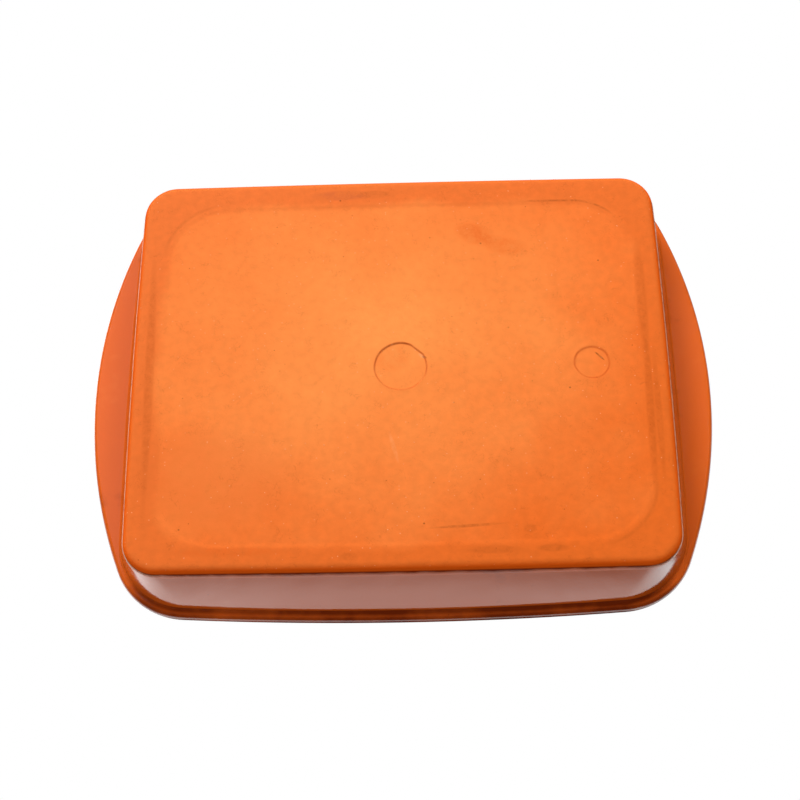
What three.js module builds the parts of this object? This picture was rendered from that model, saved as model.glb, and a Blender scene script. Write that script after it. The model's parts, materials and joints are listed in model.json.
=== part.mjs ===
// Earthenware baking dish: a pressed clay tray, a glaze coat on its outside and a glaze lining inside.
// Millimetres, +Z up. The dish stands on its foot at z = 0 with its mouth upwards. X runs along the
// length, through both lugs, and the origin is at the middle of the foot.
// All outer sizes are taken over the glaze. The clay lies one glaze thickness below them.

import * as THREE from 'three';

// Foot and base, where the outer wall starts
const HEIGHT = 44;
const BASE_LENGTH = 312;
const BASE_WIDTH = 252;
const BASE_CORNER = 20;
const BASE_END_BOW = 1;
const BASE_SIDE_BOW = 0.6;
const FOOT_ROUND = 5;

// Outer wall, from the foot up to the cove below the rim. Leans are in degrees, at mid-side.
const END_LEAN = 13.76;
const SIDE_LEAN = 19.16;
const MOUTH_CORNER = 40.5;
const MOUTH_END_BOW = 1.4;
const MOUTH_SIDE_BOW = 3.5;

// Rim flange and the lugs that it swells into at both ends. Its corners are rounder than the mouth's by
// the corner reach, and it has its own bow along the sides.
const RIM_THICKNESS = 6.7;
const RIM_CORNER_REACH = 4.4;
const RIM_SIDE_REACH = 5.7;
const RIM_SIDE_BOW = 3.7;
const RIM_EDGE = 2.2;
const RIM_INNER_ROUND = 3.5;
const COVE_REACH = 1.2;
const COVE_RISE = 1.2;
const LUG_REACH = 21;

// Thicknesses and the round between floor and wall
const WALL = 7;
const FLOOR = 8;
const FLOOR_FILLET = 10;

// Underside: a sunk panel inside a flat border, and two blank round press marks. The press plate that
// made them sat a little off the middle of the dish.
const PANEL_MARGIN = 15.5;
const PANEL_CORNER = 36;
const PANEL_DEPTH = 0.5;
const PANEL_SLOPE = 3.2;
const PRESS_SHIFT_X = 0.7;
const PRESS_SHIFT_Y = 2;
const CENTRE_MARK_DIAMETER = 31;
const CENTRE_MARK_DEPTH = 0.5;
const CENTRE_MARK_SLOPE = 0.8;
const SMALL_MARK_DIAMETER = 22;
const SMALL_MARK_DEPTH = 0.35;
const SMALL_MARK_SLOPE = 2;
const SMALL_MARK_DISTANCE = 110.5;

// Glaze
const GLAZE = 0.5;
const GLAZE_LINE_RISE = 0.8;
const GLAZE_FEATHER = 3;

// Facets: steps along each quarter of an outline, and along each round of the section
const END_STEPS = 4;
const CORNER_STEPS = 5;
const SIDE_STEPS = 4;
const FOOT_STEPS = 4;
const COVE_STEPS = 3;
const EDGE_STEPS = 6;
const INNER_STEPS = 3;
const FILLET_STEPS = 4;
const MARK_STEPS = 24;

const RIGHT_ANGLE = Math.PI / 2;
const endLean = THREE.MathUtils.degToRad(END_LEAN);
const sideLean = THREE.MathUtils.degToRad(SIDE_LEAN);
const meanLean = (endLean + sideLean) / 2;

// Heights along the outer wall
const wallStart = FOOT_ROUND * (1 - Math.sin(meanLean));
const rimUnderside = HEIGHT - RIM_THICKNESS;
const wallEnd = rimUnderside - COVE_RISE;
const wallRise = wallEnd - wallStart;
const glazeLine = wallStart + GLAZE_LINE_RISE;

// An outline is a rectangle with round corners whose four sides bow outwards as flat arcs. Each side's
// arc passes through the middle of its side and runs smoothly into the corner circles.
function outline(halfLength, halfWidth, corner) {
  const sideDrop = corner.y - halfWidth;
  const endDrop = corner.x - halfLength;
  const radius = corner.radius;
  const sideRadius = (radius ** 2 - corner.x ** 2 - sideDrop ** 2) / (2 * (sideDrop + radius));
  const endRadius = (radius ** 2 - corner.y ** 2 - endDrop ** 2) / (2 * (endDrop + radius));
  return { halfLength, halfWidth, corner, sideRadius, endRadius };
}

// The corner circle that lies inside the sides by their bows
function cornerInside(halfLength, halfWidth, radius, endBow, sideBow) {
  return { x: halfLength - endBow - radius, y: halfWidth - sideBow - radius, radius };
}

// One quarter of an outline from +X round to +Y, moved outwards by an offset. Every outline has the same
// number of points, so that any two can be joined.
function quarter(shape, offset) {
  const { corner, halfLength, halfWidth, sideRadius, endRadius } = shape;
  const endCentre = halfLength - endRadius;
  const sideCentre = halfWidth - sideRadius;
  const cornerStart = Math.atan2(corner.y, corner.x - endCentre);
  const cornerEnd = Math.atan2(corner.y - sideCentre, corner.x);
  const arcs = [
    [endCentre, 0, endRadius, 0, cornerStart, END_STEPS],
    [corner.x, corner.y, corner.radius, cornerStart, cornerEnd, CORNER_STEPS],
    [0, sideCentre, sideRadius, cornerEnd, RIGHT_ANGLE, SIDE_STEPS],
  ];
  const points = [];
  for (const [x, y, radius, start, end, steps] of arcs) {
    const curve = new THREE.EllipseCurve(x, y, radius + offset, radius + offset, start, end);
    points.push(...curve.getPoints(steps).slice(0, steps));
  }
  points.push(new THREE.Vector2(0, halfWidth + offset));
  return points;
}

// A closed ring at one height, anticlockwise seen from above
function ring(shape, offset, z) {
  const first = quarter(shape, offset);
  const back = [...first].reverse();
  const signs = [[1, 1, first], [-1, 1, back], [-1, -1, first], [1, -1, back]];
  const points = [];
  for (const [signX, signY, list] of signs) {
    for (const point of list.slice(0, -1)) points.push(new THREE.Vector3(signX * point.x, signY * point.y, z));
  }
  return points;
}

// The ring at a height on the straight wall, between the base and mouth outlines
function wallRing(offset, z) {
  const share = (z - wallStart) / wallRise;
  const low = ring(baseShape, offset, z);
  const high = ring(mouthShape, offset, z);
  return low.map((point, index) => point.clone().lerp(high[index], share));
}

function circle(x, radius, z) {
  const curve = new THREE.EllipseCurve(x, 0, radius, radius);
  return curve.getPoints(MARK_STEPS).slice(0, MARK_STEPS).map((p) => pressed(new THREE.Vector3(p.x, p.y, z)));
}

// Moves a point of the press plate to where the plate sat under the dish
function pressed(point) {
  return point.add(new THREE.Vector3(PRESS_SHIFT_X, PRESS_SHIFT_Y, 0));
}

// Fractions from 0 to 1 along a round
function steps(count) {
  return Array.from({ length: count + 1 }, (unused, index) => index / count);
}

// Collects triangles. A band joins two rings, the first below or outside the second seen along the
// surface. Turned bands have the same triangles with their faces to the other side.
class Skin {
  constructor() {
    this.points = [];
    this.index = [];
    this.known = new Map();
  }

  vertex(point) {
    const key = [point.x, point.y, point.z].map((value) => Math.fround(value)).join(' ');
    if (!this.known.has(key)) {
      this.known.set(key, this.points.length / 3);
      this.points.push(point.x, point.y, point.z);
    }
    return this.known.get(key);
  }

  face(a, b, c, turned) {
    const corners = turned ? [a, c, b] : [a, b, c];
    this.index.push(...corners.map((point) => this.vertex(point)));
  }

  band(low, high, turned = false) {
    low.forEach((point, i) => {
      const next = (i + 1) % low.length;
      this.face(point, low[next], high[i], turned);
      this.face(low[next], high[next], high[i], turned);
    });
  }

  bands(rings, turned = false) {
    for (let i = 1; i < rings.length; i += 1) this.band(rings[i - 1], rings[i], turned);
  }

  // A flat face inside a ring, with holes, that faces up or is turned to face down
  cap(edge, holes = [], turned = false) {
    const all = [...edge, ...holes.flat()];
    for (const [a, b, c] of THREE.ShapeUtils.triangulateShape(edge, holes)) this.face(all[a], all[b], all[c], turned);
  }

  geometry() {
    const geometry = new THREE.BufferGeometry();
    geometry.setAttribute('position', new THREE.Float32BufferAttribute(this.points, 3));
    geometry.setIndex(this.index);
    geometry.computeVertexNormals();
    return geometry;
  }
}

// Outlines: base, mouth (top of the outer wall), rim with lugs, and the panel below
const baseHalfLength = BASE_LENGTH / 2;
const baseHalfWidth = BASE_WIDTH / 2;
const baseCorner = cornerInside(baseHalfLength, baseHalfWidth, BASE_CORNER, BASE_END_BOW, BASE_SIDE_BOW);
const baseShape = outline(baseHalfLength, baseHalfWidth, baseCorner);

const mouthHalfLength = baseHalfLength + wallRise * Math.tan(endLean);
const mouthHalfWidth = baseHalfWidth + wallRise * Math.tan(sideLean);
const mouthCorner = cornerInside(mouthHalfLength, mouthHalfWidth, MOUTH_CORNER, MOUTH_END_BOW, MOUTH_SIDE_BOW);
const mouthShape = outline(mouthHalfLength, mouthHalfWidth, mouthCorner);

const rimHalfWidth = mouthHalfWidth + RIM_SIDE_REACH;
const rimRadius = MOUTH_CORNER + RIM_CORNER_REACH;
const rimCorner = { x: mouthCorner.x, y: rimHalfWidth - RIM_SIDE_BOW - rimRadius, radius: rimRadius };
const rimShape = outline(mouthHalfLength + LUG_REACH, rimHalfWidth, rimCorner);

const panelHalfLength = baseHalfLength - PANEL_MARGIN;
const panelHalfWidth = baseHalfWidth - PANEL_MARGIN;
const panelCorner = cornerInside(panelHalfLength, panelHalfWidth, PANEL_CORNER, BASE_END_BOW, BASE_SIDE_BOW);
const panelShape = outline(panelHalfLength, panelHalfWidth, panelCorner);

// The cove and the edge round share the flange, and the fillet stays inside the corner of the wall
const rimEdge = Math.min(RIM_EDGE, RIM_CORNER_REACH * 0.5);
const coveReach = Math.min(COVE_REACH, RIM_CORNER_REACH * 0.45);
const edgeRise = RIM_THICKNESS / 2;
const innerRound = Math.min(RIM_INNER_ROUND, edgeRise);
const floorFillet = Math.min(FLOOR_FILLET, (BASE_CORNER - WALL) * 0.8);

// Section of the outside from the end of the wall round the rim's edge to the rim's flat top, at a depth
// below the finished surface
function rimRings(depth) {
  const rings = [];
  for (const share of steps(COVE_STEPS)) {
    const angle = share * RIGHT_ANGLE;
    const offset = coveReach - (coveReach + depth) * Math.cos(angle);
    rings.push(ring(mouthShape, offset, wallEnd + (COVE_RISE + depth) * Math.sin(angle)));
  }
  for (const share of steps(EDGE_STEPS)) {
    const angle = (share - 0.5) * Math.PI;
    const offset = (rimEdge - depth) * Math.cos(angle) - rimEdge;
    rings.push(ring(rimShape, offset, HEIGHT - edgeRise + (edgeRise - depth) * Math.sin(angle)));
  }
  return rings;
}

// Section of the inside from the inner edge of the rim's flat top down to the flat floor
function insideRings(depth) {
  const rings = [];
  for (const share of steps(INNER_STEPS)) {
    const angle = share * (RIGHT_ANGLE - meanLean);
    const offset = innerRound - WALL - (innerRound - depth) * Math.sin(angle);
    rings.push(ring(mouthShape, offset, HEIGHT - innerRound + (innerRound - depth) * Math.cos(angle)));
  }
  const middle = FLOOR + floorFillet;
  for (const share of steps(FILLET_STEPS)) {
    const angle = -meanLean - share * (RIGHT_ANGLE - meanLean);
    const inset = WALL + floorFillet / Math.cos(meanLean);
    const reach = floorFillet + depth;
    const z = middle + reach * Math.sin(angle);
    const points = wallRing(reach * Math.cos(angle) - inset, middle);
    rings.push(points.map((point) => point.setZ(z)));
  }
  return rings;
}

// Section of the bare clay from the panel out over the border and round the foot to the glaze line
function footRings() {
  const panel = [ring(panelShape, -PANEL_SLOPE, PANEL_DEPTH), ring(panelShape, 0, 0)];
  const rings = panel.map((points) => points.map(pressed));
  for (const share of steps(FOOT_STEPS)) {
    const angle = share * (RIGHT_ANGLE - meanLean);
    const offset = FOOT_ROUND * (Math.sin(angle) - Math.cos(meanLean)) - GLAZE;
    rings.push(ring(baseShape, offset, FOOT_ROUND * (1 - Math.cos(angle))));
  }
  rings.push(wallRing(-GLAZE, glazeLine));
  return rings;
}

function clayBody() {
  const skin = new Skin();
  const foot = footRings();
  const inside = insideRings(GLAZE);
  const marks = [
    [0, CENTRE_MARK_DIAMETER / 2, CENTRE_MARK_SLOPE, CENTRE_MARK_DEPTH],
    [SMALL_MARK_DISTANCE, SMALL_MARK_DIAMETER / 2, SMALL_MARK_SLOPE, SMALL_MARK_DEPTH],
  ];
  const edges = marks.map(([x, radius]) => circle(x, radius, PANEL_DEPTH));
  skin.cap(foot[0], edges, true);
  marks.forEach(([x, radius, slope, depth], i) => {
    const bottom = circle(x, radius - slope, PANEL_DEPTH + depth);
    skin.band(edges[i], bottom, true);
    skin.cap(bottom, [], true);
  });
  skin.bands([...foot, ...rimRings(GLAZE), ...inside]);
  skin.cap(inside.at(-1));
  return skin.geometry();
}

// The coat starts as a feather edge on the glaze line and ends square on the rim's flat top
function outerGlaze() {
  const skin = new Skin();
  const start = wallRing(-GLAZE, glazeLine);
  const under = [start, ...rimRings(GLAZE), insideRings(GLAZE)[0]];
  const over = [start, wallRing(0, glazeLine + GLAZE_FEATHER), ...rimRings(0), insideRings(0)[0]];
  skin.bands(under, true);
  skin.bands(over);
  skin.band(over.at(-1), under.at(-1));
  return skin.geometry();
}

function innerGlaze() {
  const skin = new Skin();
  const under = insideRings(GLAZE);
  const over = insideRings(0);
  skin.bands(under, true);
  skin.bands(over);
  skin.band(under[0], over[0]);
  skin.cap(under.at(-1), [], true);
  skin.cap(over.at(-1));
  return skin.geometry();
}

const bareClay = new THREE.MeshStandardMaterial({ color: 0xf08040, roughness: 0.85, metalness: 0 });
const honeyGlaze = new THREE.MeshStandardMaterial({ color: 0xc8602a, roughness: 0.15, metalness: 0 });

function piece(name, geometry, material) {
  const mesh = new THREE.Mesh(geometry, material);
  mesh.name = name;
  return mesh;
}

const dish = new THREE.Group();
dish.name = 'baking_dish';
dish.add(piece('clay_body', clayBody(), bareClay));
dish.add(piece('outer_glaze', outerGlaze(), honeyGlaze));
dish.add(piece('inner_glaze', innerGlaze(), honeyGlaze));

export default dish;
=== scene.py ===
"""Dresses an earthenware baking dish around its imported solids: bare clay, two glaze coats and a studio.

Metres, +Z up. The dish stands on its foot at z = 0 with its mouth upwards, and X runs along its length
through both lugs. The photographed dish lies upside down, so the camera stands below the floor.
"""

import json
import logging
import math
from dataclasses import dataclass
from enum import Enum
from typing import Any, Iterable, NamedTuple

import bmesh
import bpy
import numpy as np
from mathutils import Matrix, Vector, noise
from mathutils.geometry import delaunay_2d_cdt

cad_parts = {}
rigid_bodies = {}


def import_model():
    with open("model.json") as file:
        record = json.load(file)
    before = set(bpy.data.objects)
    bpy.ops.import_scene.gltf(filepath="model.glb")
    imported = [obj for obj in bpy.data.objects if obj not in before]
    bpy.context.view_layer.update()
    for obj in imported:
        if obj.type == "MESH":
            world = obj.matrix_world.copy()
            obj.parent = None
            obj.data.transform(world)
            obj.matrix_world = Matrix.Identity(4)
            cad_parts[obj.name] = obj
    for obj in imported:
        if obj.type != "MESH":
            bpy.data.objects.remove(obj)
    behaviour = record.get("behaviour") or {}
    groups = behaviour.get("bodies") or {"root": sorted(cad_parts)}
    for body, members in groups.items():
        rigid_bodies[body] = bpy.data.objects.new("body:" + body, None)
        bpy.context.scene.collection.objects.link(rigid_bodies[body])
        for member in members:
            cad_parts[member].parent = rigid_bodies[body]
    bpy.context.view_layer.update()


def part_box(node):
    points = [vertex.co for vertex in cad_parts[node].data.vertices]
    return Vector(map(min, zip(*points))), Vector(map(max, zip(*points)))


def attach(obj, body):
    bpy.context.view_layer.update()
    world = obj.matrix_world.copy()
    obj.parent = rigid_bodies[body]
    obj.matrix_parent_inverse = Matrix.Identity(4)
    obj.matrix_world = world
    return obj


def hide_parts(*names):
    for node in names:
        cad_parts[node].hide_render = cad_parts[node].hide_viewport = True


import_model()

LOG = logging.getLogger("baking_dish")
MM = 0.001
RIGHT_ANGLE = math.pi / 2
BODY = "root"

# Corners closer than this are one
SEAM = 0.002 * MM

# Steps round each rounding of the faces between clay and glaze, which nobody sees
HIDDEN_STEPS = 5

# Short names for what node trees are made of, and for what can feed a node's input
Tree = bpy.types.NodeTree
TreeNode = bpy.types.Node
Socket = bpy.types.NodeSocket
Feed = Socket | TreeNode
Colour = tuple[float, float, float, float]

# Sockets of a colour Mix node, which carry the same names as its hidden ones
MIX_FACTOR = 0
MIX_A = 6
MIX_B = 7
MIX_RESULT = 2


class Slot(Enum):
    """The record's material slots."""

    CLAY = "bare_clay"
    OUTER = "outer_glaze"
    INNER = "inner_glaze"


class Node(Enum):
    """The CAD nodes that the pieces stand for."""

    CLAY = "clay_body"
    OUTER = "outer_glaze"
    INNER = "inner_glaze"


class Stain(Enum):
    """Colours of the marks that kiln and oven shelf left on the bare clay; the scorch colour also paints
    shade into the creases.
    """

    SCORCH = "#9c3c0c"
    SOOT = "#702c0c"
    LILAC = "#b8583a"
    RUST = "#dc5c18"
    PALE = "#ffc088"


def linear(hex_colour: str) -> Colour:
    """Turns an sRGB hex colour into the linear colour that Blender's sockets hold.

    Args:
        hex_colour: The colour as "#rrggbb".

    Returns:
        Red, green, blue and an alpha of 1.
    """
    parts = [int(hex_colour[i:i + 2], 16) / 255 for i in (1, 3, 5)]
    red, green, blue = (p / 12.92 if p <= 0.04045 else ((p + 0.055) / 1.055) ** 2.4 for p in parts)
    return red, green, blue, 1.0


def add_node(
    tree: Tree, kind: str, inputs: dict[str | int, Any] | None = None, **settings: Any
) -> TreeNode:
    """Adds a node with its settings, and fills or links its inputs.

    Args:
        tree: The shader or geometry tree that gets the node.
        kind: Blender's name for the kind of node.
        inputs: Values, output sockets or nodes, by the name or number of the input. A node stands for its
            first output.
        **settings: Properties of the node itself.

    Returns:
        The new node.
    """
    node = tree.nodes.new(kind)
    for name, value in settings.items():
        setattr(node, name, value)
    for key, value in (inputs or {}).items():
        if isinstance(value, TreeNode):
            value = value.outputs[0]
        if isinstance(value, Socket):
            tree.links.new(value, node.inputs[key])
        else:
            node.inputs[key].default_value = value
    return node


def per_metre(size: float) -> float:
    """Gives the texture scale at which one cell of a pattern has this size in metres."""
    return 1 / size


def empty_material(name: str) -> bpy.types.Material:
    """Makes a material whose tree is still empty."""
    made = bpy.data.materials.new(name)
    made.use_nodes = True
    made.node_tree.nodes.clear()
    return made


def lay_colours(
    tree: Tree, ground: Socket | Colour, layers: Iterable[tuple[Feed, Socket | Colour]]
) -> Socket:
    """Lays colours over a ground, one after the other.

    Args:
        tree: The material's tree.
        ground: The colour underneath, linear or as a socket.
        layers: For each colour the share that it covers, and the colour.

    Returns:
        The colour on top.
    """
    for share, colour in layers:
        given = {MIX_FACTOR: share, MIX_A: ground, MIX_B: colour}
        ground = add_node(tree, "ShaderNodeMix", given, data_type="RGBA").outputs[MIX_RESULT]
    return ground


def bumped(tree: Tree, layers: Iterable[tuple[Feed, float]]) -> Socket:
    """Bumps a surface with several patterns.

    Args:
        tree: The material's tree.
        layers: For each pattern its height and how far it rises, in metres.

    Returns:
        The bumped normal.
    """
    normal = None
    for height, depth in layers:
        given = {"Height": height, "Distance": depth} | ({"Normal": normal} if normal else {})
        normal = add_node(tree, "ShaderNodeBump", given).outputs[0]
    return normal


def smooth_step(value: np.ndarray, start: float, end: float) -> np.ndarray:
    """Rises smoothly from 0 at start to 1 at end.

    Args:
        value: The numbers to look at.
        start: Where the rise begins.
        end: Where it ends, above or below start.

    Returns:
        Shares from 0 to 1.
    """
    share = np.clip((value - start) / (end - start), 0, 1)
    return share * share * (3 - 2 * share)


def plain_mesh(
    name: str,
    points: np.ndarray,
    faces: Iterable[tuple[int, ...]],
    edges: Iterable[tuple[int, int]] = (),
) -> bpy.types.Object:
    """Makes a mesh object at the origin.

    Args:
        name: The object's name.
        points: Its corners, one row each.
        faces: Corner numbers of each face.
        edges: Loose edges.

    Returns:
        The new object, linked to the scene.
    """
    mesh = bpy.data.meshes.new(name)
    mesh.from_pydata(np.asarray(points).tolist(), list(edges), list(faces))
    mesh.update()
    made = bpy.data.objects.new(name, mesh)
    bpy.context.scene.collection.objects.link(made)
    return made


def set_attribute(mesh: bpy.types.Mesh, name: str, values: np.ndarray) -> None:
    """Stores one number for each corner of a mesh.

    Args:
        mesh: The mesh that gets the attribute.
        name: The attribute's name.
        values: One value for each corner.
    """
    layer = mesh.attributes.get(name) or mesh.attributes.new(name, "FLOAT", "POINT")
    layer.data.foreach_set("value", np.asarray(values, dtype=np.float32))


def corner_points(mesh: bpy.types.Mesh) -> np.ndarray:
    """Gives a mesh's corners as rows of x, y and z."""
    flat = np.empty(len(mesh.vertices) * 3)
    mesh.vertices.foreach_get("co", flat)
    return flat.reshape(-1, 3)


def fill_inputs(modifier: bpy.types.Modifier, given: dict[str, Any]) -> None:
    """Sets a Geometry Nodes modifier's inputs by the names that its tree shows.

    Args:
        modifier: The modifier, with its tree in place.
        given: A value for each named input.
    """
    for item in modifier.node_group.interface.items_tree:
        if item.name in given:
            modifier[item.identifier] = given[item.name]


def settle(made: bpy.types.Object) -> None:
    """Turns what an object's modifiers make into its plain mesh and removes them.

    Args:
        made: The object, whose modifiers are all set.
    """
    graph = bpy.context.evaluated_depsgraph_get()
    graph.update()
    result = bpy.data.meshes.new_from_object(made.evaluated_get(graph), depsgraph=graph)
    made.modifiers.clear()
    made.data = result
    result.name = made.name


def coat(made: bpy.types.Object, material: bpy.types.Material) -> None:
    """Leaves one material on all faces of an object.

    Args:
        made: The object.
        material: Its finish.
    """
    made.data.materials.clear()
    made.data.materials.append(material)
    made.data.polygons.foreach_set("material_index", np.zeros(len(made.data.polygons), dtype=np.int32))


def hand_over(piece: bpy.types.Object, slot: Slot, node: Node) -> None:
    """Gives a finished piece its body and hides the CAD node that it stands for.

    Args:
        piece: The finished piece.
        slot: Not used.
        node: The CAD node that it replaces.
    """
    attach(piece, BODY)
    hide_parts(node.value)
    LOG.info("%s: %d faces", piece.name, len(piece.data.polygons))


@dataclass(frozen=True)
class Outline:
    """A rectangle with round corners whose four sides bow outwards as flat arcs.

    Each side's arc passes through the middle of its side and runs smoothly into the corner circles.
    """

    half_length: float
    half_width: float
    corner_x: float
    corner_y: float
    corner_radius: float

    @classmethod
    def bowed(
        cls, half_length: float, half_width: float, radius: float, end_bow: float, side_bow: float
    ) -> "Outline":
        """Makes an outline whose corner circles lie inside the sides by their bows.

        Args:
            half_length: From the middle to an end.
            half_width: From the middle to a side.
            radius: Of the corners.
            end_bow: How far the ends bow out.
            side_bow: How far the sides bow out.

        Returns:
            The outline.
        """
        corner_x = half_length - end_bow - radius
        corner_y = half_width - side_bow - radius
        return cls(half_length, half_width, corner_x, corner_y, radius)

    @property
    def side_radius(self) -> float:
        """Radius of the arc along a long side."""
        drop = self.corner_y - self.half_width
        return (self.corner_radius**2 - self.corner_x**2 - drop**2) / (2 * (drop + self.corner_radius))

    @property
    def end_radius(self) -> float:
        """Radius of the arc along an end."""
        drop = self.corner_x - self.half_length
        return (self.corner_radius**2 - self.corner_y**2 - drop**2) / (2 * (drop + self.corner_radius))

    def ring(self, offset: float, end: int, corner: int, side: int) -> tuple[np.ndarray, np.ndarray]:
        """Walks once round the outline, anticlockwise from +X.

        Args:
            offset: How far the ring lies outside the outline.
            end: Steps along half an end.
            corner: Steps round a corner.
            side: Steps along half a side.

        Returns:
            Points and outward directions, one row of x and y each.
        """
        end_middle = self.half_length - self.end_radius
        side_middle = self.half_width - self.side_radius
        turn = math.atan2(self.corner_y, self.corner_x - end_middle)
        straighten = math.atan2(self.corner_y - side_middle, self.corner_x)
        round_corner = np.linspace(turn, straighten, corner, endpoint=False)
        arcs = (
            (end_middle, 0.0, self.end_radius, np.linspace(0, turn, end, endpoint=False)),
            (self.corner_x, self.corner_y, self.corner_radius, round_corner),
            (0.0, side_middle, self.side_radius, np.linspace(straighten, RIGHT_ANGLE, side + 1)),
        )
        angles = np.concatenate([arc[3] for arc in arcs])
        outward = np.stack([np.cos(angles), np.sin(angles)], axis=1)
        middles = np.concatenate([np.tile(arc[:2], (len(arc[3]), 1)) for arc in arcs])
        radii = np.concatenate([np.full(len(arc[3]), arc[2]) for arc in arcs])
        quarter = middles + outward * (radii + offset)[:, None]
        points = []
        ways = []
        for mirror, back in (((1, 1), False), ((-1, 1), True), ((-1, -1), False), ((1, -1), True)):
            order = slice(None, None, -1) if back else slice(None)
            points.append((quarter * mirror)[order][:-1])
            ways.append((outward * mirror)[order][:-1])
        return np.concatenate(points), np.concatenate(ways)

    def depth_inside(self, x: np.ndarray, y: np.ndarray) -> np.ndarray:
        """Measures how far points lie inside the outline, negative outside it.

        Args:
            x: Places along the length.
            y: Places across the width.

        Returns:
            Distances to the outline.
        """
        x = np.abs(x)
        y = np.abs(y)
        end_middle = self.half_length - self.end_radius
        side_middle = self.half_width - self.side_radius
        at_end = self.end_radius - np.hypot(x - end_middle, y)
        at_side = self.side_radius - np.hypot(x, y - side_middle)
        at_corner = self.corner_radius - np.hypot(x - self.corner_x, y - self.corner_y)
        turn = math.atan2(self.corner_y, self.corner_x - end_middle)
        straighten = math.atan2(self.corner_y - side_middle, self.corner_x)
        angle = np.arctan2(y - self.corner_y, x - self.corner_x)
        in_corner = (angle > turn) & (angle < straighten)
        return np.where(in_corner, at_corner, np.minimum(at_end, at_side))


class Station(NamedTuple):
    """One point of the section that is swept round the dish."""

    # Which outline: 0 is the base, 1 the mouth and 2 the rim, with shares between them
    level: float
    offset: float
    height: float
    # How thick the glaze lies here: 0 on the plain wall, above it where it pools, below on an edge; on the
    # outer coat's flange painted shade is added to it later
    pool: float = 0.0
    # Share of the ring's reach, which shrinks to 0 at the middle of a floor
    spread: float = 1.0
    # How much the point follows the wandering lower edge of the coat
    ragged: float = 0.0


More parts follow.
